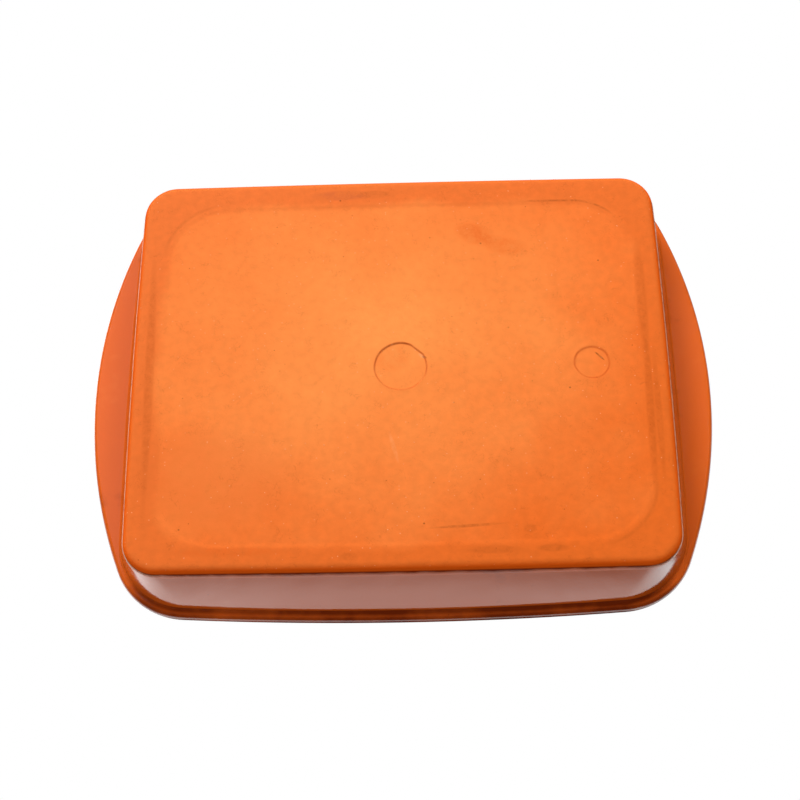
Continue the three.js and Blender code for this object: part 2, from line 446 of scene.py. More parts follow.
@dataclass(frozen=True)
class DishForm:
    """The sizes that all pieces share, taken over the glaze, and the rules that they follow.

    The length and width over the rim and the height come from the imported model.
    """

    rim_half_length: float
    rim_half_width: float
    height: float
    lug_reach: float = 21 * MM
    rim_corner_reach: float = 4.4 * MM
    rim_side_reach: float = 5.7 * MM
    rim_side_bow: float = 3.7 * MM
    rim_thickness: float = 6.7 * MM
    rim_edge: float = 2.2 * MM
    cove_reach: float = 1.2 * MM
    cove_rise: float = 1.2 * MM
    mouth_corner: float = 40.5 * MM
    mouth_end_bow: float = 1.4 * MM
    mouth_side_bow: float = 3.5 * MM
    end_lean: float = math.radians(13.76)
    side_lean: float = math.radians(19.16)
    wall_hollow: float = 0.6 * MM
    base_corner: float = 20 * MM
    base_end_bow: float = 1 * MM
    base_side_bow: float = 0.6 * MM
    foot_round: float = 5 * MM
    wall: float = 7 * MM
    floor: float = 8 * MM
    floor_fillet: float = 10 * MM
    glaze: float = 0.5 * MM
    glaze_line_rise: float = 0.8 * MM
    glaze_feather: float = 3 * MM
    edge_wander: float = 3 * MM
    edge_detail: float = 9 * MM
    # The glaze's pool on the rim's inner edge, where it runs off
    edge_thinning: float = -0.7
    end_steps: int = 32
    corner_steps: int = 20
    side_steps: int = 40
    # Shares of the way up the outer wall, across the lugs and down the inner wall that hold stations
    wall_span: tuple[float, float] = (0.2, 0.96)
    wall_steps: int = 8
    flange_stops: tuple[float, ...] = (0.12, 0.5, 0.88)
    inner_stops: tuple[float, ...] = (0.1, 0.5, 0.9)

    @classmethod
    def from_frame(cls) -> "DishForm":
        """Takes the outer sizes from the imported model's box."""
        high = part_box(Node.OUTER.value)[1]
        return cls(rim_half_length=high[0], rim_half_width=high[1], height=high[2])

    @property
    def mean_lean(self) -> float:
        """Lean of the wall between its ends and sides."""
        return (self.end_lean + self.side_lean) / 2

    @property
    def wall_start(self) -> float:
        """Height where the foot's round runs into the wall."""
        return self.foot_round * (1 - math.sin(self.mean_lean))

    @property
    def wall_end(self) -> float:
        """Height where the wall runs into the cove below the rim."""
        return self.height - self.rim_thickness - self.cove_rise

    @property
    def glaze_line(self) -> float:
        """Height of the glaze's lower edge."""
        return self.wall_start + self.glaze_line_rise

    @property
    def mouth(self) -> Outline:
        """Outline of the outer wall at its top."""
        return Outline.bowed(
            self.rim_half_length - self.lug_reach,
            self.rim_half_width - self.rim_side_reach,
            self.mouth_corner,
            self.mouth_end_bow,
            self.mouth_side_bow,
        )

    @property
    def base(self) -> Outline:
        """Outline of the outer wall at its foot."""
        rise = self.wall_end - self.wall_start
        return Outline.bowed(
            self.mouth.half_length - rise * math.tan(self.end_lean),
            self.mouth.half_width - rise * math.tan(self.side_lean),
            self.base_corner,
            self.base_end_bow,
            self.base_side_bow,
        )

    @property
    def rim(self) -> Outline:
        """Outline of the rim flange with its lugs."""
        mouth = self.mouth
        radius = mouth.corner_radius + self.rim_corner_reach
        corner_y = self.rim_half_width - self.rim_side_bow - radius
        return Outline(self.rim_half_length, self.rim_half_width, mouth.corner_x, corner_y, radius)

    def ring(self, outline: Outline, offset: float = 0.0) -> tuple[np.ndarray, np.ndarray]:
        """Walks round one of the outlines with the dish's common steps.

        Args:
            outline: The outline.
            offset: How far the ring lies outside it.

        Returns:
            Points and outward directions.
        """
        return outline.ring(offset, self.end_steps, self.corner_steps, self.side_steps)

    def level_at(self, height: float) -> float:
        """Gives the share of the way from base to mouth at a height on the wall."""
        return (height - self.wall_start) / (self.wall_end - self.wall_start)

    def wall_station(self, height: float, depth: float, pool: float = 0.0, ragged: float = 0.0) -> Station:
        """Places a station on the outer wall, a depth below its slightly hollow finished face."""
        level = self.level_at(height)
        hollow = 4 * self.wall_hollow * level * (1 - level)
        return Station(level, -hollow - depth, height, pool, ragged=ragged)

    def up_the_wall(self, depth: float) -> list[Station]:
        """Follows the outer wall from above the glaze's edge to the cove, a depth below its face."""
        rise = self.wall_end - self.wall_start
        heights = self.wall_start + rise * np.linspace(*self.wall_span, self.wall_steps)
        return [self.wall_station(height, depth) for height in heights]

    def foot(self, steps: int) -> list[Station]:
        """Follows the bare clay from the border under the dish round the foot to the glaze line.

        Args:
            steps: Steps round the foot.

        Returns:
            The stations, from the border outwards.
        """
        stations = []
        for angle in np.linspace(0, RIGHT_ANGLE - self.mean_lean, steps + 1):
            offset = self.foot_round * (math.sin(angle) - math.cos(self.mean_lean)) - self.glaze
            stations.append(Station(0, offset, self.foot_round * (1 - math.cos(angle))))
        stations.append(self.wall_station(self.glaze_line, self.glaze))
        return stations

    def flange(self, depth: float, steps: int) -> list[Station]:
        """Follows the cove under the rim, the lug's underside and the round edge up to the rim's top.

        Args:
            depth: How far below the finished face the path lies.
            steps: Steps round the cove and round half of the edge.

        Returns:
            The stations, from the wall upwards.
        """
        stations = []
        for share in np.linspace(0, 1, steps + 1):
            angle = share * RIGHT_ANGLE
            offset = self.cove_reach - (self.cove_reach + depth) * math.cos(angle)
            rise = (self.cove_rise + depth) * math.sin(angle)
            stations.append(Station(1, offset, self.wall_end + rise))
        start = stations[-1]
        edge_rise = self.rim_thickness / 2
        edge = []
        for share in np.linspace(0, 1, 2 * steps + 1):
            angle = (share - 0.5) * math.pi
            offset = (self.rim_edge - depth) * math.cos(angle) - self.rim_edge
            rise = (edge_rise - depth) * math.sin(angle)
            edge.append(Station(2, offset, self.height - edge_rise + rise))
        for share in self.flange_stops:
            between = [a + (b - a) * share for a, b in zip(start, edge[0])]
            stations.append(Station(*between))
        return stations + edge

    def inside(self, depth: float, steps: int) -> list[Station]:
        """Follows the inside from the rim's flat top over its inner round down to the flat floor.

        Args:
            depth: How far below the finished face the path lies.
            steps: Steps round the rim's inner edge and round the fillet above the floor.

        Returns:
            The stations, from the rim inwards.
        """
        stations = []
        inner_round = self.rim_thickness / 2
        for angle in np.linspace(0, RIGHT_ANGLE - self.mean_lean, steps + 1):
            offset = inner_round - self.wall - (inner_round - depth) * math.sin(angle)
            rise = (inner_round - depth) * math.cos(angle)
            pool = self.edge_thinning * math.sin(2 * angle)
            stations.append(Station(1, offset, self.height - inner_round + rise, pool))
        middle = self.floor + self.floor_fillet
        inset = self.wall + self.floor_fillet / math.cos(self.mean_lean)
        reach = self.floor_fillet + depth
        fillet = []
        for share in np.linspace(0, 1, steps + 1):
            angle = -self.mean_lean - share * (RIGHT_ANGLE - self.mean_lean)
            offset = reach * math.cos(angle) - inset
            # The glaze pools most half-way round the fillet
            pool = math.sin(math.pi * (0.15 + share * 0.7))
            fillet.append(Station(self.level_at(middle), offset, middle + reach * math.sin(angle), pool))
        for share in self.inner_stops:
            between = [a + (b - a) * share for a, b in zip(stations[steps], fillet[0])]
            stations.append(Station(*between))
        return stations + fillet


def across_floor(stations: list[Station], steps: int) -> list[Station]:
    """Carries a section on across the flat floor to its middle.

    Args:
        stations: The section down to the floor.
        steps: Steps across the floor.

    Returns:
        The longer section.
    """
    edge = stations[-1]
    floor = []
    for share in (0.985, *np.linspace(1, 0, steps + 1)[1:]):
        # The pool of the fillet thins out over the outer quarter of the floor
        pool = edge.pool * max(0.0, 4 * share - 3)
        floor.append(edge._replace(spread=share, pool=pool))
    return stations + floor


class Sweep:
    """Sweeps a section round the dish's three outlines with a Geometry Nodes tree."""

    def __init__(self, form: DishForm) -> None:
        """Prepares the outlines and the tree that all pieces share.

        Args:
            form: The dish's sizes.
        """
        self.form = form
        self.rings = [form.ring(outline) for outline in (form.base, form.mouth, form.rim)]
        self.count = len(self.rings[0][0]) + 1
        self.tree = self._tree()

    def _tree(self) -> Tree:
        """Builds the tree: a grid whose corners are laid on the outlines, station by station."""
        tree = bpy.data.node_groups.new("Section swept round the dish", "GeometryNodeTree")
        sockets = (
            ("Outlines", "INPUT", "NodeSocketGeometry"),
            ("Section", "INPUT", "NodeSocketObject"),
            ("Ring points", "INPUT", "NodeSocketInt"),
            ("Stations", "INPUT", "NodeSocketInt"),
            ("Wall rise", "INPUT", "NodeSocketFloat"),
            ("Edge wander", "INPUT", "NodeSocketFloat"),
            ("Edge scale", "INPUT", "NodeSocketFloat"),
            ("Material", "INPUT", "NodeSocketMaterial"),
            ("Swept", "OUTPUT", "NodeSocketGeometry"),
        )
        for name, way, kind in sockets:
            tree.interface.new_socket(name, in_out=way, socket_type=kind)
        given = add_node(tree, "NodeGroupInput").outputs
        section = add_node(tree, "GeometryNodeObjectInfo", {"Object": given["Section"]}).outputs["Geometry"]
        index = add_node(tree, "GeometryNodeInputIndex")
        place = add_node(tree, "GeometryNodeInputPosition")
        stations = given["Stations"]
        size = {"Vertices X": given["Ring points"], "Vertices Y": stations}
        mesh = add_node(tree, "GeometryNodeMeshGrid", size)
        along = add_node(tree, "FunctionNodeIntegerMath", {0: index, 1: stations}, operation="DIVIDE_FLOOR")
        station = add_node(tree, "FunctionNodeIntegerMath", {0: index, 1: stations}, operation="MODULO")
        # A section point's place holds its level, offset and height
        picked = {"Geometry": section, "Index": station}
        point = add_node(
            tree, "GeometryNodeSampleIndex", picked | {"Value": place}, data_type="FLOAT_VECTOR"
        )
        level, offset, height = add_node(tree, "ShaderNodeSeparateXYZ", {0: point}).outputs
        extra = {}
        for name in ("pool", "spread", "ragged"):
            value = add_node(tree, "GeometryNodeInputNamedAttribute", {"Name": name}, data_type="FLOAT")
            taken = picked | {"Value": value}
            extra[name] = add_node(tree, "GeometryNodeSampleIndex", taken, data_type="FLOAT")
        wander = self._wander(tree, given, along, extra["ragged"])
        height = add_node(tree, "ShaderNodeMath", {0: height, 1: wander}, operation="ADD")
        shift = add_node(tree, "ShaderNodeMath", {0: wander, 1: given["Wall rise"]}, operation="DIVIDE")
        level = add_node(tree, "ShaderNodeMath", {0: level, 1: shift}, operation="ADD")
        outward = add_node(
            tree, "GeometryNodeInputNamedAttribute", {"Name": "outward"}, data_type="FLOAT_VECTOR"
        )
        flat = self._between_rings(tree, given, along, level, place)
        way = self._between_rings(tree, given, along, level, outward)
        push = add_node(tree, "ShaderNodeVectorMath", {0: way, "Scale": offset}, operation="SCALE")
        flat = add_node(tree, "ShaderNodeVectorMath", {0: flat, 1: push}, operation="ADD")
        drawn = {0: flat, "Scale": extra["spread"]}
        flat = add_node(tree, "ShaderNodeVectorMath", drawn, operation="SCALE")
        lift = add_node(tree, "ShaderNodeCombineXYZ", {"Z": height})
        final = add_node(tree, "ShaderNodeVectorMath", {0: flat, 1: lift}, operation="ADD")
        for name in ("pool", "ragged"):
            kept = {"Geometry": mesh, "Name": name, "Value": extra[name]}
            mesh = add_node(tree, "GeometryNodeStoreNamedAttribute", kept, data_type="FLOAT", domain="POINT")
        mesh = add_node(tree, "GeometryNodeSetPosition", {"Geometry": mesh, "Position": final})
        mesh = add_node(tree, "GeometryNodeMergeByDistance", {"Geometry": mesh, "Distance": SEAM})
        mesh = add_node(tree, "GeometryNodeSetShadeSmooth", {"Geometry": mesh})
        mesh = add_node(tree, "GeometryNodeRealizeInstances", {"Geometry": mesh})
        coated = {"Geometry": mesh, "Material": given["Material"]}
        mesh = add_node(tree, "GeometryNodeSetMaterial", coated)
        add_node(tree, "NodeGroupOutput", {"Swept": mesh})
        return tree

    @staticmethod
    def _wander(tree: Tree, given: bpy.types.NodeOutputs, along: TreeNode, ragged: TreeNode) -> TreeNode:
        """Lets the coat's lower edge wander up and down the wall.

        Args:
            tree: The tree.
            given: Its inputs.
            along: Number of the ring's point.
            ragged: How much the station follows the wandering edge.

        Returns:
            How far the station is lifted.
        """
        place = add_node(tree, "GeometryNodeInputPosition")
        taken = {"Geometry": given["Outlines"], "Value": place, "Index": along}
        below = add_node(tree, "GeometryNodeSampleIndex", taken, data_type="FLOAT_VECTOR")
        crooked = {"Vector": below, "Scale": given["Edge scale"], "Detail": 3.0}
        wander = add_node(tree, "ShaderNodeTexNoise", crooked).outputs["Fac"]
        wander = add_node(tree, "ShaderNodeMath", {0: wander, 1: 0.5}, operation="SUBTRACT")
        for factor in (given["Edge wander"], ragged):
            wander = add_node(tree, "ShaderNodeMath", {0: wander, 1: factor}, operation="MULTIPLY")
        return wander

    @staticmethod
    def _between_rings(
        tree: Tree, given: bpy.types.NodeOutputs, along: TreeNode, level: TreeNode, value: TreeNode
    ) -> Socket:
        """Takes a value from the two outlines round a level and mixes them.

        Args:
            tree: The tree.
            given: Its inputs.
            along: Number of the ring's point.
            level: Which outline, with shares between them.
            value: What is stored at the outlines' points.

        Returns:
            The mixed value.
        """
        whole = add_node(tree, "ShaderNodeMath", {0: level}, operation="FLOOR")
        lower = add_node(tree, "ShaderNodeMath", {0: whole, 1: 1.0}, operation="MINIMUM")
        lower = add_node(tree, "ShaderNodeMath", {0: lower, 1: 0.0}, operation="MAXIMUM")
        share = add_node(tree, "ShaderNodeMath", {0: level, 1: lower}, operation="SUBTRACT")
        ends = []
        for step in (0.0, 1.0):
            ring = add_node(tree, "ShaderNodeMath", {0: lower, 1: step}, operation="ADD")
            number = {0: ring, 1: given["Ring points"], 2: along}
            number = add_node(tree, "ShaderNodeMath", number, operation="MULTIPLY_ADD")
            taken = {"Geometry": given["Outlines"], "Value": value, "Index": number}
            kind = {"data_type": "FLOAT_VECTOR", "clamp": True}
            ends.append(add_node(tree, "GeometryNodeSampleIndex", taken, **kind))
        # A Mix node's vector sockets are numbers 4 and 5, and its vector result is number 1
        blend = {0: share, 4: ends[0], 5: ends[1]}
        return add_node(tree, "ShaderNodeMix", blend, data_type="VECTOR", clamp_factor=False).outputs[1]

    def make(self, name: str, stations: list[Station], material: bpy.types.Material) -> bpy.types.Object:
        """Sweeps one section into a piece.

        Args:
            name: The piece's name.
            stations: The section, in the order that turns its faces outwards.
            material: The piece's finish.

        Returns:
            The piece as a plain mesh.
        """
        points = [np.append(ring, ring[:1], axis=0) for ring, _ in self.rings]
        ways = [np.append(way, way[:1], axis=0) for _, way in self.rings]
        made = plain_mesh(name, np.pad(np.concatenate(points), ((0, 0), (0, 1))), ())
        layer = made.data.attributes.new("outward", "FLOAT_VECTOR", "POINT")
        outward = np.pad(np.concatenate(ways), ((0, 0), (0, 1))).astype(np.float32)
        layer.data.foreach_set("vector", outward.ravel())
        places = np.array([station[:3] for station in stations])
        path = [(i, i + 1) for i in range(len(stations) - 1)]
        section = plain_mesh(name + "_section", places, (), path)
        for extra in ("pool", "spread", "ragged"):
            set_attribute(section.data, extra, np.array([getattr(station, extra) for station in stations]))
        sweep = made.modifiers.new("sweep", "NODES")
        sweep.node_group = self.tree
        given = {
            "Section": section,
            "Ring points": self.count,
            "Stations": len(stations),
            "Wall rise": self.form.wall_end - self.form.wall_start,
            "Edge wander": self.form.edge_wander,
            "Edge scale": per_metre(self.form.edge_detail),
            "Material": material,
        }
        fill_inputs(sweep, given)
        settle(made)
        bpy.data.objects.remove(section)
        coat(made, material)
        return made


class Grains:
    """Scatters small half-sunk grains over a piece with a Geometry Nodes tree."""

    def __init__(self) -> None:
        """Builds the tree that all pieces share."""
        tree = bpy.data.node_groups.new("Grains scattered on a surface", "GeometryNodeTree")
        sockets = (
            ("Surface", "INPUT", "NodeSocketGeometry"),
            ("Grains per square metre", "INPUT", "NodeSocketFloat"),
            ("Grain radius", "INPUT", "NodeSocketFloat"),
            ("Seed", "INPUT", "NodeSocketInt"),
            ("Material", "INPUT", "NodeSocketMaterial"),
            ("Grained", "OUTPUT", "NodeSocketGeometry"),
        )
        for name, way, kind in sockets:
            tree.interface.new_socket(name, in_out=way, socket_type=kind)
        given = add_node(tree, "NodeGroupInput").outputs
        zone = add_node(tree, "GeometryNodeInputNamedAttribute", {"Name": "grain_zone"}, data_type="FLOAT")
        crowd = {0: given["Grains per square metre"], 1: zone}
        crowd = add_node(tree, "ShaderNodeMath", crowd, operation="MULTIPLY")
        spread = {"Mesh": given["Surface"], "Density": crowd, "Seed": given["Seed"]}
        spots = add_node(tree, "GeometryNodeDistributePointsOnFaces", spread).outputs
        ball = {"Radius": given["Grain radius"], "Subdivisions": 1}
        grain = add_node(tree, "GeometryNodeMeshIcoSphere", ball)
        marked = {"Geometry": grain, "Name": "grain", "Value": 1.0}
        grain = add_node(tree, "GeometryNodeStoreNamedAttribute", marked, data_type="FLOAT", domain="POINT")
        # Grains lie flat and differ in size
        sizes = {"Min": (0.45, 0.45, 0.3), "Max": (1.0, 1.0, 0.55), "Seed": given["Seed"]}
        size = add_node(tree, "FunctionNodeRandomValue", sizes, data_type="FLOAT_VECTOR")
        laid = {
            "Points": spots["Points"],
            "Instance": grain,
            "Rotation": spots["Rotation"],
            "Scale": size,
        }
        mesh = add_node(tree, "GeometryNodeInstanceOnPoints", laid)
        mesh = add_node(tree, "GeometryNodeRealizeInstances", {"Geometry": mesh})
        mesh = add_node(tree, "GeometryNodeSetShadeSmooth", {"Geometry": mesh})
        both = add_node(tree, "GeometryNodeJoinGeometry")
        for part in (mesh.outputs[0], given["Surface"]):
            tree.links.new(part, both.inputs[0])
        coated = {"Geometry": both, "Material": given["Material"]}
        mesh = add_node(tree, "GeometryNodeSetMaterial", coated)
        add_node(tree, "NodeGroupOutput", {"Grained": mesh})
        self.tree = tree

    def scatter(self, made: bpy.types.Object, zone: np.ndarray, density: float, radius: float) -> None:
        """Adds grains to a piece where its zone allows them.

        Args:
            made: The piece, with its material on it.
            zone: For each corner of the piece 1 where grains may lie and 0 elsewhere.
            density: Grains per square metre.
            radius: Of the largest grains.
        """
        set_attribute(made.data, "grain_zone", zone)
        material = made.data.materials[0]
        modifier = made.modifiers.new("grains", "NODES")
        modifier.node_group = self.tree
        given = {"Grains per square metre": density, "Grain radius": radius, "Seed": 7, "Material": material}
        fill_inputs(modifier, given)
        settle(made)
        coat(made, material)


@dataclass(frozen=True)
class Smudge:
    """A faint stain on the underside: an oval patch that fades out and is broken by the clay's grain.

    With an inset the patch is a darker line along the panel's edge, of which the oval shows one stretch.
    Lengths are in millimetres and turns in degrees.
    """

    stain: Stain
    x: float
    y: float
    length: float
    width: float
    turn: float = 0.0
    strength: float = 0.2
    # How far inside the panel's outline the line runs
    inset: float | None = None
    line_width: float = 1.6

    def share(self, tree: Tree, place: Socket, inside: Socket, breaks: Socket) -> Socket:
        """Works out how strongly the stain colours the clay.

        Args:
            tree: The material's tree.
            place: Object coordinates.
            inside: Depth inside the panel's outline.
            breaks: Noise that breaks the stain up.

        Returns:
            The stain's share of the colour.
        """
        oval = {
            "Vector": place,
            "Location": (self.x * MM, self.y * MM, 0.0),
            "Rotation": (0.0, 0.0, math.radians(self.turn)),
            "Scale": (self.length * MM / 2, self.width * MM / 2, 1.0),
        }
        oval = add_node(tree, "ShaderNodeMapping", oval, vector_type="TEXTURE")
        oval = add_node(tree, "ShaderNodeTexGradient", {"Vector": oval}, gradient_type="SPHERICAL")
        fade = {"Value": oval.outputs["Fac"], "From Max": 0.55, "To Max": self.strength}
        fade = add_node(tree, "ShaderNodeMapRange", fade, interpolation_type="SMOOTHSTEP")
        share = add_node(tree, "ShaderNodeMath", {0: fade, 1: breaks}, operation="MULTIPLY")
        if self.inset is None:
            return share.outputs[0]
        off = add_node(tree, "ShaderNodeMath", {0: inside, 1: self.inset * MM}, operation="SUBTRACT")
        off = add_node(tree, "ShaderNodeMath", {0: off}, operation="ABSOLUTE")
        line = {"Value": off, "From Max": self.line_width * MM / 2, "To Min": 1.0, "To Max": 0.0}
        line = add_node(tree, "ShaderNodeMapRange", line, interpolation_type="SMOOTHSTEP")
        return add_node(tree, "ShaderNodeMath", {0: share, 1: line}, operation="MULTIPLY").outputs[0]


@dataclass(frozen=True)
class PressMark:
    """A blank round mark that the press left in the underside, with a low lip of clay round it."""

    x: float
    diameter: float
    depth: float
    slope: float
    lip: float
    # Direction and depth of the flat that cuts the mark's edge
    flat_turn: float
    flat_cut: float
    # Direction in which the stamp sank deeper, and by which share of the depth
    tilt_turn: float = math.radians(-125)
    tilt: float = 0.3
    lip_reach: float = 2.6 * MM
    # How far the edge strays in three and in seven waves round the mark
    strays: tuple[float, float] = (0.08 * MM, 0.06 * MM)

    def edge(self, angle: np.ndarray) -> np.ndarray:
        """Gives the mark's radius in each direction, cut by its flat and a little uneven.

        Args:
            angle: Directions from its middle.

        Returns:
            Radii.
        """
        radius = self.diameter / 2
        uneven = self.strays[0] * np.sin(3 * angle + self.x * 40) + self.strays[1] * np.sin(7 * angle)
        toward = np.maximum(np.cos(angle - self.flat_turn), 0.05)
        return np.minimum(radius + uneven, (radius - self.flat_cut) / toward)

    def height(self, x: np.ndarray, y: np.ndarray) -> np.ndarray:
        """Gives the mark's height over the panel.

        Args:
            x: Places along the length, from the mark's middle.
            y: Places across the width.

        Returns:
            Heights, negative on the lip.
        """
        into = self.inside(x, y)
        sunk = smooth_step(into, 0, self.slope)
        toward = (x * math.cos(self.tilt_turn) + y * math.sin(self.tilt_turn)) / (self.diameter / 2)
        depth = self.depth * (1 + self.tilt * toward)
        return depth * sunk - self.lip * smooth_step(into, -self.lip_reach, 0) * (1 - sunk)

    def inside(self, x: np.ndarray, y: np.ndarray) -> np.ndarray:
        """Measures how far points lie inside the mark's edge, from its middle, negative outside it."""
        return self.edge(np.arctan2(y, x)) - np.hypot(x, y)

    def insets(self) -> list[float]:
        """Lists how far inside the edge the mesh needs a ring to carry the mark's section."""
        lip = [-self.lip_reach * share for share in (1, 0.7, 0.4, 0.15)]
        return lip + [self.slope * share for share in (0, 0.25, 0.5, 0.75, 1, 1.6)]


@dataclass(frozen=True)
class Speck:
    """A kind of small round speck, which lies in some of the cells of a pattern."""

    colour: str
    spacing: float
    radius: float
    # A cell holds a speck where its chance is above this
    gate: float
    strength: float

    def share(self, tree: Tree, place: Socket) -> Socket:
        """Works out where the specks lie.

        Args:
            tree: The material's tree.
            place: Object coordinates.

        Returns:
            The specks' share of the colour.
        """
        cells = {"Vector": place, "Scale": per_metre(self.spacing)}
        cells = add_node(tree, "ShaderNodeTexVoronoi", cells).outputs
        dot = {
            "Value": cells["Distance"],
            "From Max": self.radius / self.spacing,
            "To Min": self.strength,
            "To Max": 0.0,
        }
        dot = add_node(tree, "ShaderNodeMapRange", dot, interpolation_type="SMOOTHSTEP")
        chance = add_node(tree, "ShaderNodeSeparateColor", {"Color": cells["Color"]})
        chosen = add_node(tree, "ShaderNodeMath", {0: chance, 1: self.gate}, operation="GREATER_THAN")
        return add_node(tree, "ShaderNodeMath", {0: dot, 1: chosen}, operation="MULTIPLY").outputs[0]


@dataclass(frozen=True)
class FiredClay:
    """Red earthenware, pressed and fired unglazed.

    It shows no gloss: a chalky orange with a painted highlight, lighter and yellower round one place, and
    painted shade that deepens it along one direction; fine crooked creases from the press, darkened with
    painted shade, pale grains, pits and faint brown marks from the oven shelf.
    """

    # The first colour is the clay under a painted highlight; the colours after edge and border are the same
    # colours in painted shade
    middle: str = "#fb9d50"
    edge: str = "#f4803b"
    painted_shade_edge: str = "#ec7328"
    border: str = "#ed7d3b"
    painted_shade_border: str = "#e87228"
    # The foot's soaked colours: the orange is also lightened with painted light, the dark brown is also
    # painted shade
    foot: str = "#f4640e"
    dark_soak_and_painted_shade: str = "#8a2c06"
    # The marks' edge colour is settled dirt and painted shade of their steep walls
    mark_edge_dirt_and_shade: str = "#c03400"
    grain: str = "#ffba84"
    # A painted highlight lightens the clay round one place of the underside, and painted shade deepens it
    # along one direction
    painted_highlight_at: tuple[float, float, float] = (-15 * MM, -18 * MM, 0.0)
    painted_highlight_reach: tuple[float, float, float] = (190 * MM, 165 * MM, 1.0)
    painted_shade_along: tuple[float, float, float] = (0.6, 0.8, 0.0)
    painted_shade_over: float = 300 * MM
    cloud: float = 60 * MM
    mottle: float = 5 * MM
    mottle_swing: float = 0.11
    matt: tuple[float, float] = (0.74, 0.92)
    smear: float = 5 * MM
    # The border's colour reaches this far past the panel's edge and wavers by this much
    border_reach: tuple[float, float] = (3 * MM, 11 * MM)
    border_waver: float = 14 * MM
    groove_width: float = 2 * MM
    groove_strength: float = 0.5
    crease: float = 5 * MM
    crease_patch: float = 11 * MM
    crease_depth: float = 0.2 * MM
    crease_strength: float = 0.2
    crumple: float = 2.4 * MM
    crumple_depth: float = 0.17 * MM
    grit: float = 0.7 * MM
    grit_depth: float = 0.04 * MM
    specks: tuple[Speck, ...] = (
        Speck(grain, 3.4 * MM, 0.5 * MM, 0.72, 0.85),
        Speck(Stain.SCORCH.value, 6.5 * MM, 0.6 * MM, 0.72, 0.65),
        Speck(Stain.SOOT.value, 17 * MM, 0.85 * MM, 0.66, 0.75),
    )

    def material(self, smudges: Iterable[Smudge]) -> bpy.types.Material:
        """Builds the material.

        Args:
            smudges: The stains on the underside.

        Returns:
            The material.
        """
        made = empty_material("red_earthenware_fired_bare")
        tree = made.node_tree
        place = add_node(tree, "ShaderNodeTexCoord").outputs["Object"]
        inside = add_node(tree, "ShaderNodeAttribute", attribute_name="panel_depth").outputs["Fac"]
        mottle = {"Vector": place, "Scale": per_metre(self.mottle), "Detail": 4.0}
        mottle = add_node(tree, "ShaderNodeTexNoise", mottle).outputs["Fac"]
        # Stains catch on the clay's high spots only
        breaks = {"Vector": place, "Scale": per_metre(self.smear), "Detail": 6.0, "Roughness": 0.7}
        breaks = add_node(tree, "ShaderNodeTexNoise", breaks).outputs["Fac"]
        breaks = {"Value": breaks, "From Min": 0.38, "From Max": 0.6, "To Min": 0.1}
        breaks = add_node(tree, "ShaderNodeMapRange", breaks).outputs[0]
        creases = self._creases(tree, place)
        grains = add_node(tree, "ShaderNodeAttribute", attribute_name="grain").outputs["Fac"]
        layers = [(smudge.share(tree, place, inside, breaks), smudge.stain.value) for smudge in smudges]
        # Settled dirt and painted shade on the press marks' edges
        layers.append((self._grooves(tree, breaks), self.mark_edge_dirt_and_shade))
        # The creases are darkened in colour too: painted shade
        layers.append((creases, Stain.SCORCH.value))
        layers.append((grains, self.grain))
        layers += [(speck.share(tree, place), speck.colour) for speck in self.specks]
        # The round of the foot turns orange and brown where glaze has soaked into the clay; the orange is
        # lightened with painted light, and the brown at its top, under the glaze line, is painted shade as
        # well
        soak = add_node(tree, "ShaderNodeAttribute", attribute_name="soak").outputs["Fac"]
        for start, end, tint in ((0.0, 0.42, self.foot), (0.66, 1.0, self.dark_soak_and_painted_shade)):
            foot_layer_share = {"Value": soak, "From Min": start, "From Max": end}
            foot_layer_share = add_node(tree, "ShaderNodeMapRange", foot_layer_share, interpolation_type="SMOOTHSTEP")
            layers.append((foot_layer_share, tint))
        ground = self._ground(tree, place, inside, mottle)
        rough = {"Value": mottle, "To Min": self.matt[0], "To Max": self.matt[1]}
        shader = {
            "Base Color": lay_colours(tree, ground, [(share, linear(tint)) for share, tint in layers]),
            "Roughness": add_node(tree, "ShaderNodeMapRange", rough),
            "Diffuse Roughness": 0.6,
            "IOR": 1.5,
            "Specular IOR Level": 0.08,
            "Normal": self._relief(tree, place, creases),
        }
        shader = add_node(tree, "ShaderNodeBsdfPrincipled", shader)
        add_node(tree, "ShaderNodeOutputMaterial", {"Surface": shader})
        return made

    def _ground(self, tree: Tree, place: Socket, inside: Socket, mottle: Socket) -> Socket:
        """Colours the clean clay: painted highlight in the middle, painted shade to one corner, deeper
        border.

        Args:
            tree: The material's tree.
            place: Object coordinates.
            inside: Depth inside the panel's outline.
            mottle: Noise that makes the colour a little lighter and darker.

        Returns:
            The colour.
        """
        cloud = {"Vector": place, "Scale": per_metre(self.cloud), "Detail": 3.0}
        cloud = add_node(tree, "ShaderNodeTexNoise", cloud).outputs["Fac"]
        # Painted shade: the colour deepens along one direction
        across = {0: place, 1: self.painted_shade_along}
        across = add_node(tree, "ShaderNodeVectorMath", across, operation="DOT_PRODUCT").outputs["Value"]
        half = self.painted_shade_over / 2
        across = add_node(tree, "ShaderNodeMapRange", {"Value": across, "From Min": -half, "From Max": half})
